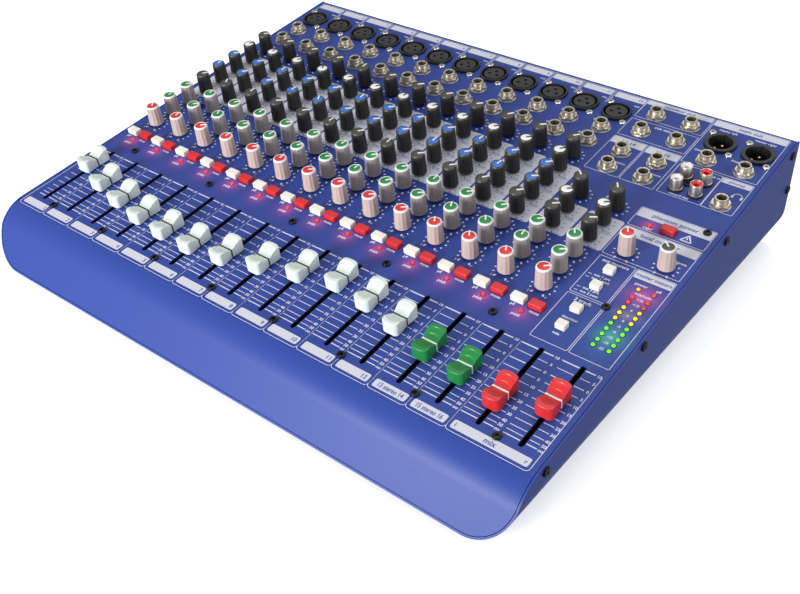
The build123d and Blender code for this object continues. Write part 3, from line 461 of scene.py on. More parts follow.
def lamp_glow(paint):
    """Light that the lamps throw on the panel: a row of red ones, and the meter's three colours."""
    x, y = board_wires(paint)
    start = column(0) - PITCH / 2
    strip = x.maths("FLOORED_MODULO", x - start, PITCH) - PITCH / 2
    rows = (x < column(MONO + 1) + PITCH / 2) * 0.55
    red = falloff(strip, y - (PEAK_ROW_Y - 1.5), GLOW_REACH) * rows
    red = red + falloff(x - PHANTOM_LAMP[0], y - PHANTOM_LAMP[1], GLOW_REACH) * 0.5
    left, right = METER_X
    mid_x = (left + right) / 2
    meter_side = 1 / (1 + (x - mid_x) * (x - mid_x) / 10.0 ** 2)
    meter_side = meter_side * meter_side * 0.55
    red_zone = falloff(y * 0, y - (METER_REAR_Y + 3), 9.0) * meter_side
    yellow_zone = falloff(y * 0, y - (METER_REAR_Y - 3 * METER_STEP), 5.0) * meter_side * 0.35
    green_zone = falloff(y * 0, y - (METER_REAR_Y - 7 * METER_STEP), 10.0) * meter_side
    colour = paint.blend(red + red_zone, (0, 0, 0), (0.85, 0.05, 0.12))
    colour = add_colours(paint, colour, paint.blend(yellow_zone, (0, 0, 0), (0.7, 0.5, 0.0)))
    return add_colours(paint, colour, paint.blend(green_zone, (0, 0, 0), (0.05, 0.5, 0.12)))


def add_colours(paint, first, second):
    return paint.node("ShaderNodeVectorMath", {"operation": "ADD"}, {0: first, 1: second}, "Vector")


case_paint = powder_coat("powder_coat")
# The panel's coat carries the painted lamp light.
panel_paint = powder_coat("powder_coat_lit", glowing=True)
for node, paint_used in (("top_panel", panel_paint), ("base_tray", case_paint), ("rear_panel", case_paint)):
    data = frame["nodes"][node].data
    data.materials.clear()
    data.materials.append(paint_used)
print("paint on the case")

# %% [markdown]
# ## Finishes of the small parts
# Plain plastics, plated metal and blackened screws. Each has its own grain and gloss, and
# none is a single flat colour.

# %% Finishes
FINISH = {
    "black_steel": metal("blackened_screw", (0.035, 0.035, 0.036), 0.38),
    "nickel": metal("nickel_plate", (0.74, 0.68, 0.55), 0.36, 0.08),
    "bore_metal": metal("jack_bore_metal", (0.62, 0.57, 0.47), 0.5),
    "bright_steel": metal("bright_steel", (0.78, 0.77, 0.74), 0.22),
    "bare_steel": metal("zinc_steel", (0.55, 0.55, 0.54), 0.35),
    "gold": metal("contact_gold", (0.85, 0.58, 0.32), 0.22),
    "black_plastic": moulded("black_plastic", (0.018, 0.018, 0.019), 0.34),
    "insert_plastic": moulded("insert_plastic", (0.022, 0.022, 0.023), 0.5),
    # Painted shade: a near-black, unreflective sheet that stands in for the shade inside the fader slots.
    "slot_shade_sheet": moulded("slot_shade_sheet", (0.004, 0.004, 0.004), 0.9, 900.0, 0.00003,
                        Specular_IOR_Level=0.0),
    "rubber": moulded("foot_rubber", (0.02, 0.02, 0.02), 0.75, 900.0, 0.00006),
    "board": moulded("board_green", (0.03, 0.16, 0.07), 0.4),
    "winding": moulded("varnished_winding", (0.42, 0.2, 0.04), 0.3, 700.0, 0.0001),
    "grey_knob": moulded("warm_grey_knob", (0.36, 0.32, 0.30), 0.5),
    "pink_knob": moulded("pale_knob", (0.52, 0.40, 0.37), 0.5),
    "ring_white": moulded("knob_ring_white", (0.72, 0.76, 0.75), 0.4),
    "black_knob": moulded("charcoal_knob", (0.024, 0.021, 0.019), 0.5),
    "ring_grey": moulded("knob_ring_charcoal", (0.05, 0.048, 0.045), 0.42),
    "red_cap": moulded("red_cap", (0.64, 0.025, 0.028), 0.35),
    "green_cap": moulded("green_cap", (0.012, 0.22, 0.055), 0.35),
    "blue_cap": moulded("blue_cap", (0.03, 0.15, 0.56), 0.35),
    "white_cap": moulded("white_cap", (0.80, 0.80, 0.78), 0.35),
    "dark_cap": moulded("dark_cap", (0.055, 0.055, 0.053), 0.42),
    "pointer_white": moulded("pointer_white", (0.82, 0.76, 0.70), 0.45),
    "pointer_black": moulded("pointer_black", (0.03, 0.03, 0.03), 0.45),
    "white_fader": moulded("pale_fader", (0.66, 0.74, 0.70), 0.36, spread=0.04),
    "green_fader": moulded("green_fader", (0.010, 0.21, 0.045), 0.36),
    "red_fader": moulded("red_fader", (0.60, 0.022, 0.025), 0.36),
    "line_black": moulded("line_black", (0.02, 0.02, 0.02), 0.5),
    "line_white": moulded("line_white", (0.85, 0.85, 0.82), 0.45),
    "white_button": moulded("white_button", (0.84, 0.80, 0.73), 0.42),
    "red_button": moulded("red_button", (0.62, 0.020, 0.022), 0.36),
    "phono_white": moulded("phono_white", (0.82, 0.82, 0.80), 0.35),
    "phono_red": moulded("phono_red", (0.66, 0.02, 0.03), 0.35),
}


def ink(name, colour):
    """Screen-printed ink: nearly matt, with tiny thin spots where the paint texture shows."""
    paint = Paint(name, colour, 0.55)
    thin = paint.noise(1500.0, 1.0)
    paint.feed("Base Color", paint.blend(thin * 0.25, colour, shade(colour, 0.8)))
    paint.feed("Roughness", thin * 0.2 + 0.45)
    paint.bump(thin, 0.25, 0.00004)
    return paint.material


WHITE_INK = ink("pale_ink", (0.60, 0.61, 0.69))
LINE_INK = ink("line_ink", (0.68, 0.69, 0.79))
BLUE_INK = ink("blue_ink", (0.05, 0.085, 0.36))


def lamp_glass(name, colour, strength):
    """A lit lamp: its tinted dome glows, with a faint swirl in its colour."""
    paint = Paint(name, colour, 0.15)
    swirl = paint.noise(2500.0)
    paint.feed("Emission Color", paint.blend(swirl, shade(colour, 0.85), colour))
    paint.feed("Base Color", paint.blend(swirl, shade(colour, 0.7), colour))
    paint.shader.inputs["Emission Strength"].default_value = strength
    return paint.material


NODE_FINISH = {
    "rubber_feet": "rubber", "side_screws": "black_steel", "panel_screws": "black_steel",
    "board_standoffs": "bare_steel", "fader_board": "board", "channel_board": "board",
    "socket_board": "board", "power_supply_board": "board", "mains_transformer": "winding",
    "mains_inlet": "black_plastic", "power_switch_frame": "black_plastic", "power_rocker": "black_plastic",
    "fader_tracks": "black_steel", "xlr_input_shells": "black_plastic", "xlr_input_inserts": "insert_plastic",
    "xlr_output_shells": "black_plastic", "xlr_output_pins": "gold", "xlr_screws": "bright_steel",
    "jack_bodies": "bore_metal", "switch_bodies": "insert_plastic", "control_bodies": "bare_steel",
    "control_shafts": "bare_steel",
}
for node, finish in NODE_FINISH.items():
    data = frame["nodes"][node].data
    data.materials.clear()
    data.materials.append(FINISH[finish])
print("finished", len(NODE_FINISH), "carried-over nodes")

# %% [markdown]
# ## Silk-screen print
# Ink is a thin layer, so every line, box, tick and number is flat geometry a few hundredths
# of a millimetre above the paint. A line is a thin quad, a rounded box is a ring of points,
# and a number is a text curve that is turned into a mesh once and then copied.

# %% Print shapes
INK_LIFT = 0.04
BLUE_LIFT = 0.07
LINE = 0.45


class Print(Pile):
    """Flat ink at one height on the board."""

    def __init__(self, lift):
        super().__init__()
        self.lift = lift

    def flat(self, outline, faces=None):
        outline = np.asarray(outline, float)
        points = np.concatenate([outline, np.full((len(outline), 1), self.lift)], 1)
        return self.add(points, faces or [tuple(range(len(outline)))])

    def line(self, x0, y0, x1, y1, width=LINE):
        """A straight stroke: its ends moved half a width to each side."""
        along = np.array([x1 - x0, y1 - y0])
        side = np.array([-along[1], along[0]]) / np.hypot(*along) * width / 2
        start, end = np.array([x0, y0]), np.array([x1, y1])
        return self.flat([start - side, end - side, end + side, start + side])

    def ring(self, outer, inner):
        """The band between two outlines with equally many points."""
        count = len(outer)
        turn_back = [(i, (i + 1) % count, count + (i + 1) % count, count + i) for i in range(count)]
        return self.flat(np.concatenate([outer, inner]), turn_back)

    def frame(self, x0, y0, x1, y1, radius=1.2, width=LINE):
        outer = rounded_outline(x0, y0, x1, y1, radius)
        inner = rounded_outline(x0 + width, y0 + width, x1 - width, y1 - width, max(radius - width, 0.05))
        return self.ring(outer, inner)

    def panel(self, x0, y0, x1, y1, radius=1.2):
        return self.flat(rounded_outline(x0, y0, x1, y1, radius))

    def path(self, points, width=LINE):
        for (x0, y0), (x1, y1) in zip(points[:-1], points[1:]):
            self.line(x0, y0, x1, y1, width)
        return self

    def text(self, words, x, y, size, align=0.5, wide=1.0):
        """Letters size mm high; align 0 starts at x, 0.5 is centred on it, 1 ends there."""
        points, faces, width = lettering(words)
        across = (points[:, 0] - width * align) * size * wide + x
        return self.flat(np.stack([across, points[:, 1] * size + y], 1), faces)


def rounded_outline(x0, y0, x1, y1, radius, steps=5):
    """Corners of a box swept by quarter circles, anticlockwise."""
    swing = np.linspace(0, math.pi / 2, steps)
    corners = ((x1 - radius, y1 - radius, 0), (x0 + radius, y1 - radius, 1),
               (x0 + radius, y0 + radius, 2), (x1 - radius, y0 + radius, 3))
    parts = []
    for cx, cy, quarter in corners:
        angle = swing + quarter * math.pi / 2
        parts.append(np.stack([cx + radius * np.cos(angle), cy + radius * np.sin(angle)], 1))
    return np.concatenate(parts)


GLYPHS = {}
LETTER_WEIGHT = 0.022
CAPITAL_HEIGHT = 0.69


def lettering(words):
    """Points, faces and width of a word whose capitals are 1 high, kept for reuse."""
    if words not in GLYPHS:
        curve = bpy.data.curves.new("lettering", "FONT")
        curve.body = words
        curve.offset = LETTER_WEIGHT
        curve.resolution_u = 3
        letter = bpy.data.objects.new("lettering", curve)
        mesh = bpy.data.meshes.new_from_object(letter)
        points = np.zeros(len(mesh.vertices) * 3)
        mesh.vertices.foreach_get("co", points)
        points = points.reshape(-1, 3)[:, :2] / CAPITAL_HEIGHT
        faces = [tuple(face.vertices) for face in mesh.polygons]
        bpy.data.objects.remove(letter)
        bpy.data.curves.remove(curve)
        bpy.data.meshes.remove(mesh)
        GLYPHS[words] = (points, faces, float(points[:, 0].max()))
    return GLYPHS[words]


white = Print(INK_LIFT)
grey = Print(INK_LIFT)
blue = Print(BLUE_LIFT)

# %% Fader scales
SLOT_REAR = 66.0
MARKS = ((63.3, "10", 1), (57.1, "5", 0), (50.5, "0", 1), (44.1, "5", 0), (37.7, "10", 0), (31.4, "15", 0),
         (25.4, "20", 0), (20.2, "25", 0), (15.1, "30", 0), (10.2, "40", 0), (6.6, "50", 0), (3.4, "oo", 1))
SCALE_REACH = 8.2
SCALE_GAP = 1.95
NUMBER_OFFSET = 10.4
STRIP_EDGE = 12.4

for index in range(COLUMNS):
    x = column(index)
    for y, number, strong in MARKS:
        width = 0.65 if strong else 0.45
        for side in (-1, 1):
            reach = SCALE_REACH if side > 0 or index == 0 else STRIP_EDGE
            white.line(x + side * SCALE_GAP, y, x + side * reach, y, width)
        white.text(number, x + NUMBER_OFFSET, y - 0.95, 2.0)
print("scales", white.count)

# %% Strip labels and dividers
SCALE_TOP = 63.7
LABEL_REAR = -3.2
LABEL_FRONT = -9.2
BRACKET_FRONT = -11.3
BRACKET_TURN = 2.4
THIN = 0.38


def bracket(left, right):
    """Line down the left side of a strip, round a corner, along the front and up again."""
    swing = np.linspace(0, math.pi / 2, 5)
    turn_x = BRACKET_TURN * (1 - np.cos(swing))
    turn_y = BRACKET_FRONT + BRACKET_TURN * (1 - np.sin(swing))
    corner = list(zip(left + turn_x, turn_y))
    other = list(zip(right - turn_x, turn_y))[::-1]
    white.path([(left, SCALE_TOP), *corner, *other, (right, SCALE_TOP)], THIN)


def front_label(left, right, name, align, x, wide=1.0, size=2.9):
    """A pale box before the fader with its name in blue, inside the bracket."""
    bracket(left, right)
    grey.panel(left + 1.9, LABEL_FRONT, right - 1.9, LABEL_REAR, 1.2)
    blue.text(name, x, LABEL_FRONT + 3.0 - size / 2, size, align, wide)


for index in range(MONO):
    right = column(index) + PITCH / 2
    front_label(right - PITCH, right, str(index + 1), 1.0, right - 3.4)
for index, name in ((12, "13 stereo 14"), (13, "15 stereo 16")):
    left, right = column(index) - PITCH / 2, column(index) + PITCH / 2
    front_label(left, right, name, 0.5, column(index), 0.74, 3.2)
left, right = column(14) - PITCH / 2, column(15) + PITCH / 2 - 1.2
front_label(left, right, "mix", 0.5, (left + right) / 2, 1.0, 3.4)
blue.text("l", left + 4, LABEL_FRONT + 1.6, 2.7)
blue.text("r", right - 4, LABEL_FRONT + 1.6, 2.7)
for index in range(COLUMNS):
    x = column(index)
    white.line(x - PITCH / 2, SCALE_TOP, x - SCALE_GAP, SCALE_TOP, THIN)
    white.line(x + SCALE_GAP, SCALE_TOP, x + SCALE_REACH, SCALE_TOP, THIN)
print("labels", grey.count, blue.count)

# %% Buttons and lamps of a strip
for index in range(MONO + 2):
    x = column(index)
    white.text("pfl", x - 7.6, 85.8, 2.2)
    white.text("peak", x - 1.2, 79.2, 2.2)
    white.text("mute", x + 7.2, 85.8, 2.2)
print("button names", white.count)

# %% Tone patches and knob scales
KNOB_ROW_Y = 108.9
KNOB_PITCH = 17.7
PATCH_HALF = 12.4
TICK_START = 7.0
MONO_ROWS = 8
STEREO_ROWS = 6
PATCH_FIRST = 3


def knob_y(row):
    return KNOB_ROW_Y + row * KNOB_PITCH


def ticks(sheet, x, y, start=TICK_START, weight=1.0):
    """Eleven marks from 150 degrees left of the rear to 150 right, every fifth one longer."""
    for step in range(11):
        angle = math.radians(-150 + 30 * step)
        reach = 2.0 if step % 5 == 0 else 1.4
        dx, dy = math.sin(angle), math.cos(angle)
        end = start + reach
        thick = 1.3 if step % 5 == 0 else 0.9
        sheet.line(x + dx * start, y + dy * start, x + dx * end, y + dy * end, thick * weight)


def tone_patch(index, rows):
    """Pale cells behind the tone knobs with thin blue lines between them."""
    x = column(index)
    low = knob_y(PATCH_FIRST) - KNOB_PITCH / 2 + 1.0
    high = knob_y(PATCH_FIRST + rows - 1) + KNOB_PITCH / 2 - 1.6
    grey.panel(x - PATCH_HALF, low, x + PATCH_HALF, high, 2.2)
    for row in range(1, rows):
        y = knob_y(PATCH_FIRST + row) - KNOB_PITCH / 2
        blue.line(x - PATCH_HALF, y, x + PATCH_HALF, y, 0.3)
    for row in range(rows):
        y = knob_y(PATCH_FIRST + row)
        ticks(blue, x, y, weight=0.65)
        blue.text("-15", x - 7.2, y - 8.2, 1.8)
        blue.text("+15", x + 7.2, y - 8.2, 1.8)


for index in range(MONO + 2):
    mono = index < MONO
    rows = MONO_ROWS if mono else STEREO_ROWS
    on_patch = 4 if mono else 2
    tone_patch(index, on_patch)
    for row in range(rows):
        if not PATCH_FIRST <= row < PATCH_FIRST + on_patch:
            ticks(white, column(index), knob_y(row))
    white.text("l", column(index) - 6.2, knob_y(0) - 8.5, 2.0)
    white.text("r", column(index) + 6.2, knob_y(0) - 8.5, 2.0)
    for row, name in ((1, "aux 2"), (2, "aux 1")):
        white.text(name, column(index) - 8.6, knob_y(row) + 6.6, 1.8)
    white.text("gain", column(index) - 8.8, knob_y(rows - 1) + 6.6, 1.9)
print("knob scales", white.count, blue.count)

# %% Socket names and the rear strip
LABEL_BACK = 320.6
FRONT_JACK = 252.8
REAR_JACK = 272.0
for index in range(MONO):
    left, right = column(index) - PITCH / 2 + 0.7, column(index) + PITCH / 2 - 0.7
    white.path([(left, 303.0), (left, LABEL_BACK), (right, LABEL_BACK), (right, 303.0)], THIN)
    grey.panel(left + 0.8, 313.0, right - 0.8, LABEL_BACK - 0.9, 0.8)
    blue.text(str(index + 1), right - 2.6, 315.0, 2.6, 1.0)
    white.text("mic", right - 3.4, 307.4, 2.0)
    white.text("line", left + 4.4, REAR_JACK + 6.6, 2.0)
    white.text("insert", left + 4.6, FRONT_JACK + 6.6, 2.0)
print("socket names", white.count)


# %% Boxes of the master section
LEFT, MIDDLE, RIGHT = 105.2, 157.3, 210.5


def box(x0, y0, x1, y1, title="", band=0.0, size=3.3):
    """A white frame; its title stands in blue on a pale band along the rear, if it has one."""
    white.frame(x0, y0, x1, y1, 1.0, THIN)
    if band:
        grey.panel(x0 + 0.7, y1 - band, x1 - 0.7, y1 - 0.7, 0.7)
        blue.text(title, (x0 + x1) / 2, y1 - band / 2 - size / 2 - 0.2, size)
    elif title:
        white.text(title, (x0 + x1) / 2, y1 - 2.2 - size * 0.7, size * 0.8)


box(LEFT, 297.2, MIDDLE - 0.9, 321.4, "monitor out", 6.0)
box(LEFT, 271.8, MIDDLE - 0.9, 294.4, "aux out")
box(MIDDLE, 264.0, RIGHT, 321.4, "main out", 7.6)
box(LEFT, 225.8, 130.8, 269.4, "13-14", 8.4)
box(131.6, 225.8, MIDDLE - 0.9, 269.4, "15-16", 8.4)
box(158.6, 226.2, 189.2, 262.0)
box(189.2, 226.2, RIGHT, 262.0, "phones", 6.0, 2.6)
box(158.9, 186.6, RIGHT, 207.0, "phantom power", 9.6)
box(158.9, 154.2, RIGHT, 185.4, "local monitor", 8.6)
box(159.6, 114.4, 184.1, 152.0, "aux masters", 0.0, 3.1)
box(159.6, 70.4, 184.1, 113.2, "2 track", 0.0, 3.4)
box(184.9, 70.4, RIGHT, 152.0, "master meters", 7.6, 2.7)
for x, y, name in ((170.5, 309.8, "master left"), (197.2, 309.8, "master right"), (163.0, 280.4, "insert"),
                   (189.4, 280.4, "insert"), (124.6, 240.2, "mono"), (151.0, 240.2, "mono"),
                   (182.5, 257.4, "2 track in"), (173.4, 227.8, "record out"), (171.9, 187.6, "+48V"),
                   (165.6, 168.6, "level"), (203.4, 168.6, "phones"), (172.6, 92.8, "monitor"),
                   (171.9, 78.6, "mix"), (193.4, 139.2, "power"), (204.6, 139.2, "pfl"),
                   (198.7, 131.4, "mix/solo")):
    white.text(name, x, y, 2.1)
for y, name in ((133.4, "aux 1 pre"), (130.2, "aux 1 post"), (120.0, "aux 2 pre"), (116.6, "aux 2 post")):
    white.text(name, 165.4, y, 1.9, 0.0)
    white.line(161.4, y + 0.4, 164.0, y + 0.4, 0.4)
for x in (MIDDLE + 14.6, column(15)):
    ticks(white, x, 161.3)
for row, name in enumerate(("+16", "+10", "6", "3", "0", "-3", "-6", "-12", "-18", "-22")):
    white.text(name, (METER_X[0] + METER_X[1]) / 2, METER_REAR_Y - METER_STEP * row - 0.9, 1.8)
print("boxes", white.count, grey.count)

# %% Warning triangle and headphone sign
white.path([(193.6, 189.4), (200.8, 189.4), (197.2, 195.6), (193.6, 189.4)], 0.9)
white.line(197.2, 190.9, 197.2, 193.6, 0.8)
arch = np.linspace(-0.1, math.pi + 0.1, 13)
white.path(list(zip(205.4 + 3.0 * np.cos(arch), 246.4 + 3.0 * np.sin(arch))), 0.6)
for side in (-1, 1):
    white.line(205.4 + side * 3.0, 246.8, 205.4 + side * 3.0, 244.0, 1.5)
white.make("pale_print", "root", LINE_INK)
grey.make("label_patches", "root", WHITE_INK)
blue.make("blue_print", "root", BLUE_INK)

# %% [markdown]
# ## Knobs
# A knob is a tapered body with shallow flutes, a pale bevelled ring round its top and a
# coloured cap let into it. A flute is a small cosine of the angle that fades out towards
# the foot. The pointer is a slim bar from the middle, over the rim and down the side.

# %% Knob shapes
KNOB_LOW = 1.2
KNOB_TOP = 16.8
LOCAL_KNOB_TOP = 17.4
KNOB_STEPS = 96
FLUTES = 12
FLUTE_DEPTH = 0.26
BASE_RADIUS = 5.5
RIM_RADIUS = 4.85


def knob_body(top):
    """Body up to the ring; radius falls evenly, less the flute depth times (1 - cos 12 a) / 2."""
    profile = [(0, KNOB_LOW), (BASE_RADIUS - 0.5, KNOB_LOW), (BASE_RADIUS, KNOB_LOW + 0.4)]
    levels = np.linspace(KNOB_LOW + 0.4, top - 1.4, 8)
    slope = (BASE_RADIUS - RIM_RADIUS) / (top - KNOB_LOW)
    profile += [(BASE_RADIUS - slope * (z - KNOB_LOW), z) for z in levels[1:]]
    profile += [(RIM_RADIUS - 0.3, top - 1.3), (0, top - 1.3)]

    def fluted(angle, radius, height):
        fade = np.clip((height - KNOB_LOW - 0.8) / 1.2, 0, 1) * (radius > RIM_RADIUS - 0.2)
        return radius - FLUTE_DEPTH * fade * (1 - np.cos(FLUTES * angle)) / 2

    return turned(profile, KNOB_STEPS, fluted)


def knob_ring(top):
    """Bevelled ring from the body's shoulder to the lip around the cap."""
    profile = [(RIM_RADIUS - 0.6, top - 1.5), (RIM_RADIUS + 0.03, top - 1.4), (RIM_RADIUS - 0.1, top - 0.8),
               (RIM_RADIUS - 0.6, top - 0.3), (RIM_RADIUS - 1.0, top - 0.35), (RIM_RADIUS - 1.05, top - 0.9)]
    return turned(profile, KNOB_STEPS)


def knob_cap(top):
    """Disc let into the ring, raised a little towards its middle."""
    radius = RIM_RADIUS - 1.05
    profile = [(0, top - 1.2), (radius, top - 1.2), (radius, top - 0.55), (radius - 0.25, top - 0.42),
               (radius * 0.5, top - 0.36), (0, top - 0.34)]
    return turned(profile, 48)


def knob_pointer(top):
    """Bar along +y: over the cap and the ring, then about 2.6 mm down the side."""
    half = 0.48
    path = [(0.2, top - 0.6, top - 0.02), (RIM_RADIUS - 0.5, top - 0.6, top),
            (RIM_RADIUS, top - 0.9, top - 0.5),
            (RIM_RADIUS + 0.16, top - 1.4, top - 1.2), (RIM_RADIUS + 0.26, top - 3.2, top - 3.1)]
    rings = []
    for y, low, high in path:
        inner = y - 0.5
        rings.append([(-half, inner, low), (half, inner, low), (half, y, high), (-half, y, high)])
    points = np.array(rings).reshape(-1, 3)
    faces = grid_faces(len(path), 4)
    faces += [(3, 2, 1, 0), tuple(4 * len(path) - 4 + i for i in range(4))]
    return points, faces


def knobs(name, body, places, turns, finishes, top=KNOB_TOP, replaces=()):
    """Four objects for a set of equal knobs: bodies, rings, caps and pointers."""
    shapes = (knob_body(top), knob_ring(top), knob_cap(top), knob_pointer(top))
    made = []
    for (points, faces), part, finish in zip(shapes, ("body", "ring", "cap", "pointer"), finishes):
        pile = Pile().copies(points, faces, [(x, y, 0.0) for x, y in places], turns)
        made.append(pile.make(f"{name}_{part}", body, FINISH[finish], 40))
    if replaces:
        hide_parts(*replaces)
    return made


PALE_RED = ("pink_knob", "ring_white", "red_cap", "pointer_white")
GREY_GREEN = ("grey_knob", "ring_white", "green_cap", "pointer_white")
BLACK_DARK = ("black_knob", "ring_grey", "dark_cap", "pointer_white")
BLACK_BLUE = ("black_knob", "ring_grey", "blue_cap", "pointer_white")
BLACK_WHITE = ("black_knob", "ring_grey", "white_cap", "pointer_black")
PALE_DARK = ("pink_knob", "ring_white", "dark_cap", "pointer_white")
MONO_STYLE = (PALE_RED, GREY_GREEN, GREY_GREEN, BLACK_DARK, BLACK_BLUE, BLACK_BLUE, BLACK_WHITE, BLACK_DARK)
STEREO_STYLE = (PALE_RED, GREY_GREEN, GREY_GREEN, BLACK_DARK, BLACK_WHITE, BLACK_DARK)

# %% Knob settings
LOCAL_KNOB_ROW = 161.3
SETTINGS = (
    (-30, 0, 48, 5, 48, 0, 50, 48, 52, 48, -30, 0, -28, 52),
    (0, 48, -25, 46, 5, 40, 48, 0, 44, 50, -25, -32, -5, 55),
    (48, 0, 40, 2, 48, 45, 5, 50, 44, 2, 50, 0, 50, -32),
    (45, -28, 0, 50, 46, 5, 44, 0, 50, 48, 40, 48, 52, 58),
    (0, 46, 48, 4, -26, 48, 50, 46, 0, 44, 8, 0, 50, 60),
    (48, 44, 0, 50, 46, 0, 48, 44, 48, 5, 50, 46, -45, -32),
    (44, 0, 50, -28, 48, 46, 4, 48, 44, 50, 48, 42, 0, 0),
    (50, 48, 44, 46, 0, 50, 48, 45, 48, 44, 50, 0, 0, 0),
)
LIVE = {"pan_knob": (11, 0, -32), "aux_knob": (11, 2, 49), "mid_knob": (11, 4, 54), "gain_knob": (11, 7, 42)}
live_keys = {(strip, row) for strip, row, _ in LIVE.values()}
groups = {}
for strip in range(MONO + 2):
    styles = MONO_STYLE if strip < MONO else STEREO_STYLE
    for row, style in enumerate(styles):
        if (strip, row) not in live_keys:
            groups.setdefault(style, []).append((column(strip), knob_y(row), SETTINGS[row][strip]))
names = {PALE_RED: "pan", GREY_GREEN: "aux", BLACK_DARK: "tone", BLACK_BLUE: "sweep", BLACK_WHITE: "bass"}
stands_for = {"aux": ["aux_and_pan_knobs"], "tone": ["tone_and_gain_knobs"]}
for style, spots in groups.items():
    places = [(x, y) for x, y, _ in spots]
    angles = [angle for _, _, angle in spots]
    name = names[style]
    knobs(f"{name}_row_knobs", "root", places, angles, style, replaces=stands_for.get(name, ()))
for name, (strip, row, angle) in LIVE.items():
    knobs(name + "_look", name, [(column(strip), knob_y(row))], [angle], MONO_STYLE[row], replaces=[name])
knobs("local_level_look", "local_level_knob", [(column(14), LOCAL_KNOB_ROW)], [-29], PALE_RED, LOCAL_KNOB_TOP,
      ["local_level_knob"])
knobs("phones_level_look", "phones_level_knob", [(column(15), LOCAL_KNOB_ROW)], [-45], PALE_DARK,
      LOCAL_KNOB_TOP, ["phones_level_knob"])
print("knobs made")

# %% [markdown]
# ## Fader caps
# A cap is a loft: at each station along y the section is a rounded box. Its half width comes
# from a waist rule with rounded corners at both ends, and its height from a saddle rule. The
# hollows for a finger end in two small curved steps. The line is a thin belt at the middle.

# %% Cap shape
CAP_HALF = 11.45
CAP_LOW = 1.0
CAP_HIGH = 9.95
SADDLE = 6.7
HALF_WIDTH = 5.65
HALF_WAIST = 5.0
CORNER = 2.2
NOSE_BOW = 1.3
NOSE_EDGE = 0.7
SCOOP_BOW = 2.4
SCOOP_END = 8.8
STEP_RISE = 0.42
STEP_RUN = 0.25
INNER_STEP = 4.6
OUTER_STEP = SCOOP_END - 0.4
CAP_EDGE = 0.55
TOP_POINTS = 23
STATIONS = 181


def quarter(reach, start, radius):
    """Drop of a quarter circle that begins at start: r - sqrt(r r - d d), with d = reach - start."""
    away = np.clip(reach - start, 0, radius)
    return radius - np.sqrt(radius ** 2 - away ** 2)


def cap_plan(y):
    """Half width: a waist that widens by a cosine, less the quarter circle of the corner."""
    reach = np.abs(y)
    widen = (1 - np.cos(math.pi * np.minimum(reach / (0.72 * CAP_HALF), 1))) / 2
    return HALF_WAIST + (HALF_WIDTH - HALF_WAIST) * widen - quarter(reach, CAP_HALF - CORNER, CORNER)


def cap_crest(x, y):
    """Height of the top. Reach r = |y| + bow (x / w) squared, so the hollow's edges are arcs;
    the rise is a smooth step of r plus two small steps, less the quarter circle of the nose."""
    reach = np.abs(y) + SCOOP_BOW * (x / HALF_WIDTH) ** 2
    part = np.clip((reach - 1.0) / (SCOOP_END - 1.0), 0, 1)
    rise = (CAP_HIGH - SADDLE - 2 * STEP_RISE) * part * part * (3 - 2 * part)
    for place in (INNER_STEP, OUTER_STEP):
        rise = rise + STEP_RISE * np.clip((reach - place) / STEP_RUN, 0, 1)
    return SADDLE + rise - quarter(np.abs(y), CAP_HALF - NOSE_EDGE, NOSE_EDGE)


def cap_section(y, grow=0.0):
    """Side, rounded upper edge, top and back down. The edge is a quarter circle of radius e:
    x = w - e (1 - cos s) and z = crest - e (1 - sin s). The nose bows by (x / w) squared."""
    width = cap_plan(y) + grow
    swing = np.linspace(0, math.pi / 2, 5)
    inset = CAP_EDGE * (1 - np.cos(swing))
    drop = CAP_EDGE * (1 - np.sin(swing))
    across = np.linspace(width - CAP_EDGE, CAP_EDGE - width, TOP_POINTS)[1:-1]
    x = np.concatenate([[width], width - inset, across, (inset - width)[::-1], [-width]])
    fall = np.concatenate([[0.0], drop, 0 * across, drop[::-1], [0.0]])
    z = cap_crest(x, y) + grow - fall
    z[0] = z[-1] = CAP_LOW
    bow = NOSE_BOW * (x / HALF_WIDTH) ** 2 * (np.abs(y) / CAP_HALF) ** 4
    return np.stack([x, y - np.sign(y) * bow, z], 1)


def lofted(stations, grow=0.0):
    sections = np.stack([cap_section(y, grow) for y in stations])
    rows, steps = sections.shape[:2]
    faces = [tuple(reversed(face)) for face in grid_faces(rows, steps)]
    faces += [tuple(range(steps)), tuple(reversed(range((rows - 1) * steps, rows * steps)))]
    return sections.reshape(-1, 3), faces


cap_shape = lofted(np.linspace(-CAP_HALF, CAP_HALF, STATIONS))
line_shape = lofted(np.array([-0.5, -0.45, 0.45, 0.5]), 0.14)
print("cap", len(cap_shape[0]), "points")

# %% One cap per fader
for index in range(COLUMNS):
    body = f"fader_{index + 1:02d}"
    travel = joints[body + "_slide"]["range_m"]
    place = (column(index), 3.3 - travel[0] * 1000, 0.0)
    finish, line = ("white_fader", "line_black") if index < 12 else ("green_fader", "line_white")
    if index > 13:
        finish = "red_fader"
    lever = ((-0.6, -2.0, -10.0), (0.6, -2.0, -10.0), (0.6, 2.0, -10.0), (-0.6, 2.0, -10.0),
             (-0.6, -2.0, 1.4), (0.6, -2.0, 1.4), (0.6, 2.0, 1.4), (-0.6, 2.0, 1.4))
    sides = [(0, 1, 5, 4), (1, 2, 6, 5), (2, 3, 7, 6), (3, 0, 4, 7)]
    Pile().copies(*cap_shape, [place]).make(body + "_cap", body, FINISH[finish], 28, replaces=[body])
    Pile().copies(*line_shape, [place]).make(body + "_line", body, FINISH[line], 45)
    Pile().copies(np.array(lever), sides, [place]).make(body + "_lever", body, FINISH["bare_steel"])

# %% Painted shade in the slots: near-black sheets just under the slot openings
SHADE_INNER = 0.65
SHADE_OUTER = 1.6
SHADE_Z = -0.25
SHADE_FRONT = -0.2
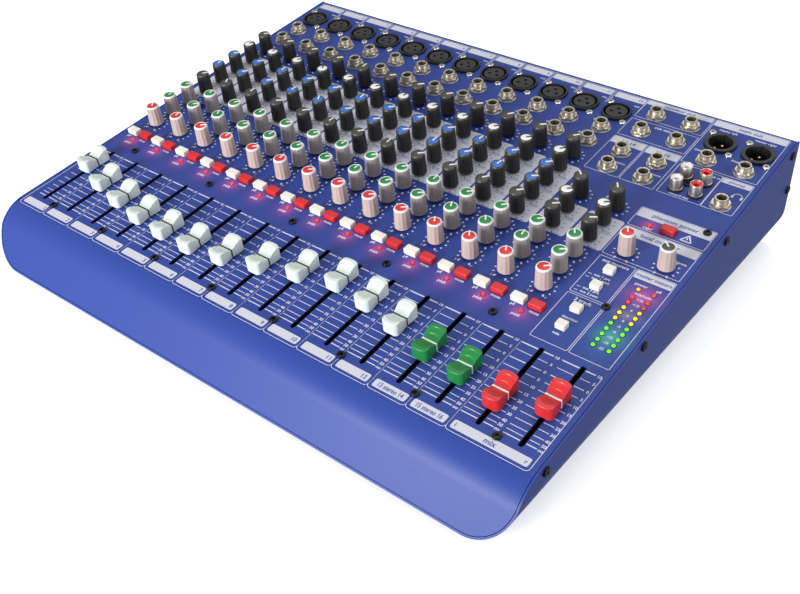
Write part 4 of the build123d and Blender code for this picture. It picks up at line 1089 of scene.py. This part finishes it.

# Painted shade: a near-black sheet either side of each lever, just under the panel, darkens the slot openings.
slot_shade = Pile()
for index in range(COLUMNS):
    for side in (-1, 1):
        x0, x1 = sorted((column(index) + side * SHADE_INNER, column(index) + side * SHADE_OUTER))
        corners = [(x0, SHADE_FRONT, SHADE_Z), (x1, SHADE_FRONT, SHADE_Z),
                   (x1, SLOT_REAR, SHADE_Z), (x0, SLOT_REAR, SHADE_Z)]
        slot_shade.add(corners, [(0, 1, 2, 3)])
slot_shade.make("slot_painted_shade", "root", FINISH["slot_shade_sheet"])

# %% [markdown]
# ## Buttons
# Push buttons are small blocks with a rounded upper edge and a slightly hollow top.

# %% Button tops
WIDE = (9.3, 5.8)
SMALL = (6.6, 5.9)
BUTTON_ROW = 91.8
BUTTON_X = 6.25
PHANTOM_BUTTON = (184.6, 192.2)


def buttons(name, places, size, finish):
    shape = rounded_block(size[0], size[1], -3.0, 3.6, 0.7, 0.45, 32, -0.12)
    spots = [(x, y, 0.0) for x, y in places]
    return Pile().copies(*shape, spots).make(name + "_look", name, FINISH[finish], 50, replaces=[name])


strips = range(MONO + 2)
buttons("listen_buttons", [(column(i) - BUTTON_X, BUTTON_ROW) for i in strips], WIDE, "white_button")
buttons("mute_buttons", [(column(i) + BUTTON_X, BUTTON_ROW) for i in strips], WIDE, "red_button")
buttons("phantom_button", [PHANTOM_BUTTON], WIDE, "red_button")
for name in ("aux_one_button", "aux_two_button", "two_track_button", "monitor_button"):
    buttons(name, [tuple(middle(name)[:2])], SMALL, "white_button")

# %% [markdown]
# ## Sockets
# A jack socket is a threaded bushing with a hexagon nut and a washer. The thread is a
# zigzag of the profile, and the hexagon is the circle's radius cut off by six flats:
# radius = flat / cos(angle from the middle of the flat).

# %% Jack sockets
BUSH = 4.6
BORE = 3.2
BUSH_TOP = 6.8
FLAT = 6.0


def bushing():
    threads = [(BUSH - 0.12 * (i % 2), 2.6 + 0.36 * i) for i in range(10)]
    outer = [(BUSH, -1.5)] + threads + [(BUSH - 0.15, BUSH_TOP - 0.3), (BUSH - 0.5, BUSH_TOP)]
    inner = [(BORE + 0.4, BUSH_TOP), (BORE, BUSH_TOP - 0.4), (BORE, 3.2)]
    inner += [(BORE + 0.2, 3.2), (BORE + 0.2, -1.5)]
    return turned(outer + inner, 40)


def hexagon(angle, radius, height):
    """The circle's radius, or the flat's where that is nearer."""
    away = (angle + math.pi / 6) % (math.pi / 3) - math.pi / 6
    return np.minimum(radius, np.where(radius > BUSH + 0.2, FLAT / np.cos(away), radius))


def nut():
    tip = FLAT / math.cos(math.pi / 6)
    profile = [(BUSH + 0.05, 0.65), (tip, 0.65), (tip, 2.2), (FLAT - 0.1, 2.95)]
    profile += [(BUSH + 0.1, 2.95), (BUSH + 0.05, 2.7)]
    return turned(profile, 72, hexagon)


washer = turned([(BUSH + 0.1, 0.02), (7.0, 0.02), (7.0, 0.3), (6.7, 0.6), (BUSH + 0.1, 0.6)], 48)
jack_places = [tuple(to_board(m["pos_m"])[:2]) for n, m in mounts.items() if m["kind"] == "bore"]
spots = [(x, y, 0.0) for x, y in jack_places]
spin = [float((37 * i) % 60) for i in range(len(spots))]
Pile().copies(*bushing(), spots).make("jack_bushing_look", "root", FINISH["nickel"], 30,
                                      replaces=["jack_bushings"])
Pile().copies(*nut(), spots, spin).make("jack_nut_look", "root", FINISH["nickel"], 25, replaces=["jack_nuts"])
Pile().copies(*washer, spots).make("jack_washer_look", "root", FINISH["nickel"], 30)
print(len(spots), "jacks")

# %% Phono sockets
PHONO_X = (168.1, 181.9)
PHONO_Y = (249.7, 235.0)
shell = turned([(4.45, -1.5), (4.45, 1.4), (4.15, 1.5), (4.15, 8.7), (4.0, 9.0),
                (3.75, 9.0), (3.65, 8.7), (3.65, 7.9)], 48)
seat = turned([(4.5, 0.02), (5.3, 0.02), (5.3, 1.0), (4.9, 1.4), (4.5, 1.4)], 48)
core = turned([(3.65, 7.6), (3.6, 8.4), (2.4, 8.4), (2.2, 8.1), (1.7, 8.1),
               (1.6, 7.9), (1.6, -5.0), (0, -5.0)], 48)
all_four = [(x, y, 0.0) for x in PHONO_X for y in PHONO_Y]
Pile().copies(*shell, all_four).make("phono_shell_look", "root", FINISH["nickel"], 30,
                                     replaces=["phono_sockets"])
Pile().copies(*seat, all_four).make("phono_base_look", "root", FINISH["black_plastic"], 30)
for x, side, finish in ((PHONO_X[0], "left", "phono_white"), (PHONO_X[1], "right", "phono_red")):
    Pile().copies(*core, [(x, y, 0.0) for y in PHONO_Y]).make(f"phono_core_{side}", "root", FINISH[finish], 30)

# %% [markdown]
# ## Lamps
# Every lamp is a small dome: peak lamps in the strips, a phantom power lamp, and two meter
# columns that go from green through yellow to red.

# %% Lamp domes
dome = turned([(1.2, -0.4), (1.2, 0.1), (1.1, 0.5), (0.85, 0.8), (0.45, 0.96), (0, 1.0)], 24)
seat_ring = turned([(1.48, -0.4), (1.48, 0.12), (1.22, 0.12), (1.22, -0.4)], 24)
peak = [(column(i), PEAK_ROW_Y) for i in strips] + [PHANTOM_LAMP]
rows = [METER_REAR_Y - METER_STEP * k for k in range(METER_ROWS)]
lit = {
    "red": peak + [(x, y) for x in METER_X for y in rows[:2]] + [(METER_X[1], STATUS_ROW_Y)],
    "yellow": [(x, y) for x in METER_X for y in rows[2:5]],
    "amber": [(METER_X[0], STATUS_ROW_Y)],
    "green": [(x, y) for x in METER_X for y in rows[5:]],
}
glass = {"red": LAMP_RED, "yellow": LAMP_YELLOW, "amber": (1.0, 0.4, 0.0), "green": LAMP_GREEN}
for name, places in lit.items():
    material = lamp_glass("lamp_" + name, glass[name], 1.1)
    pile = Pile().copies(*dome, [(x, y, 0.0) for x, y in places])
    pile.make(f"{name}_lamps", "root", material, 40, replaces=["indicator_lamps"])

lamp_spots = [(x, y, 0.0) for places in lit.values() for x, y in places]
Pile().copies(*seat_ring, lamp_spots).make("lamp_seats", "root", FINISH["black_plastic"], 40)

# %% [markdown]
# ## Floor
# A pale floor takes the soft shadow.

# %% Floor
floor_data = bpy.data.meshes.new("floor")
FLOOR_REACH = 8.0
floor_corners = [(x * FLOOR_REACH, y * FLOOR_REACH, 0) for x, y in ((-1, -1), (1, -1), (1, 1), (-1, 1))]
floor_data.from_pydata(floor_corners, [], [(0, 1, 2, 3)])
floor = bpy.data.objects.new("floor", floor_data)
scene.collection.objects.link(floor)
floor_paint = Paint("floor_white", (0.95, 0.95, 0.95), 0.55)
floor_shade = floor_paint.blend(floor_paint.noise(3.0), (0.94, 0.94, 0.94), (0.96, 0.96, 0.96))
floor_paint.feed("Base Color", floor_shade)
floor_paint.shader.inputs["Emission Color"].default_value = (1.0, 1.0, 1.0, 1.0)
floor_paint.shader.inputs["Emission Strength"].default_value = 0.5
floor_data.materials.append(floor_paint.material)
floor.visible_diffuse = False
floor.visible_glossy = False
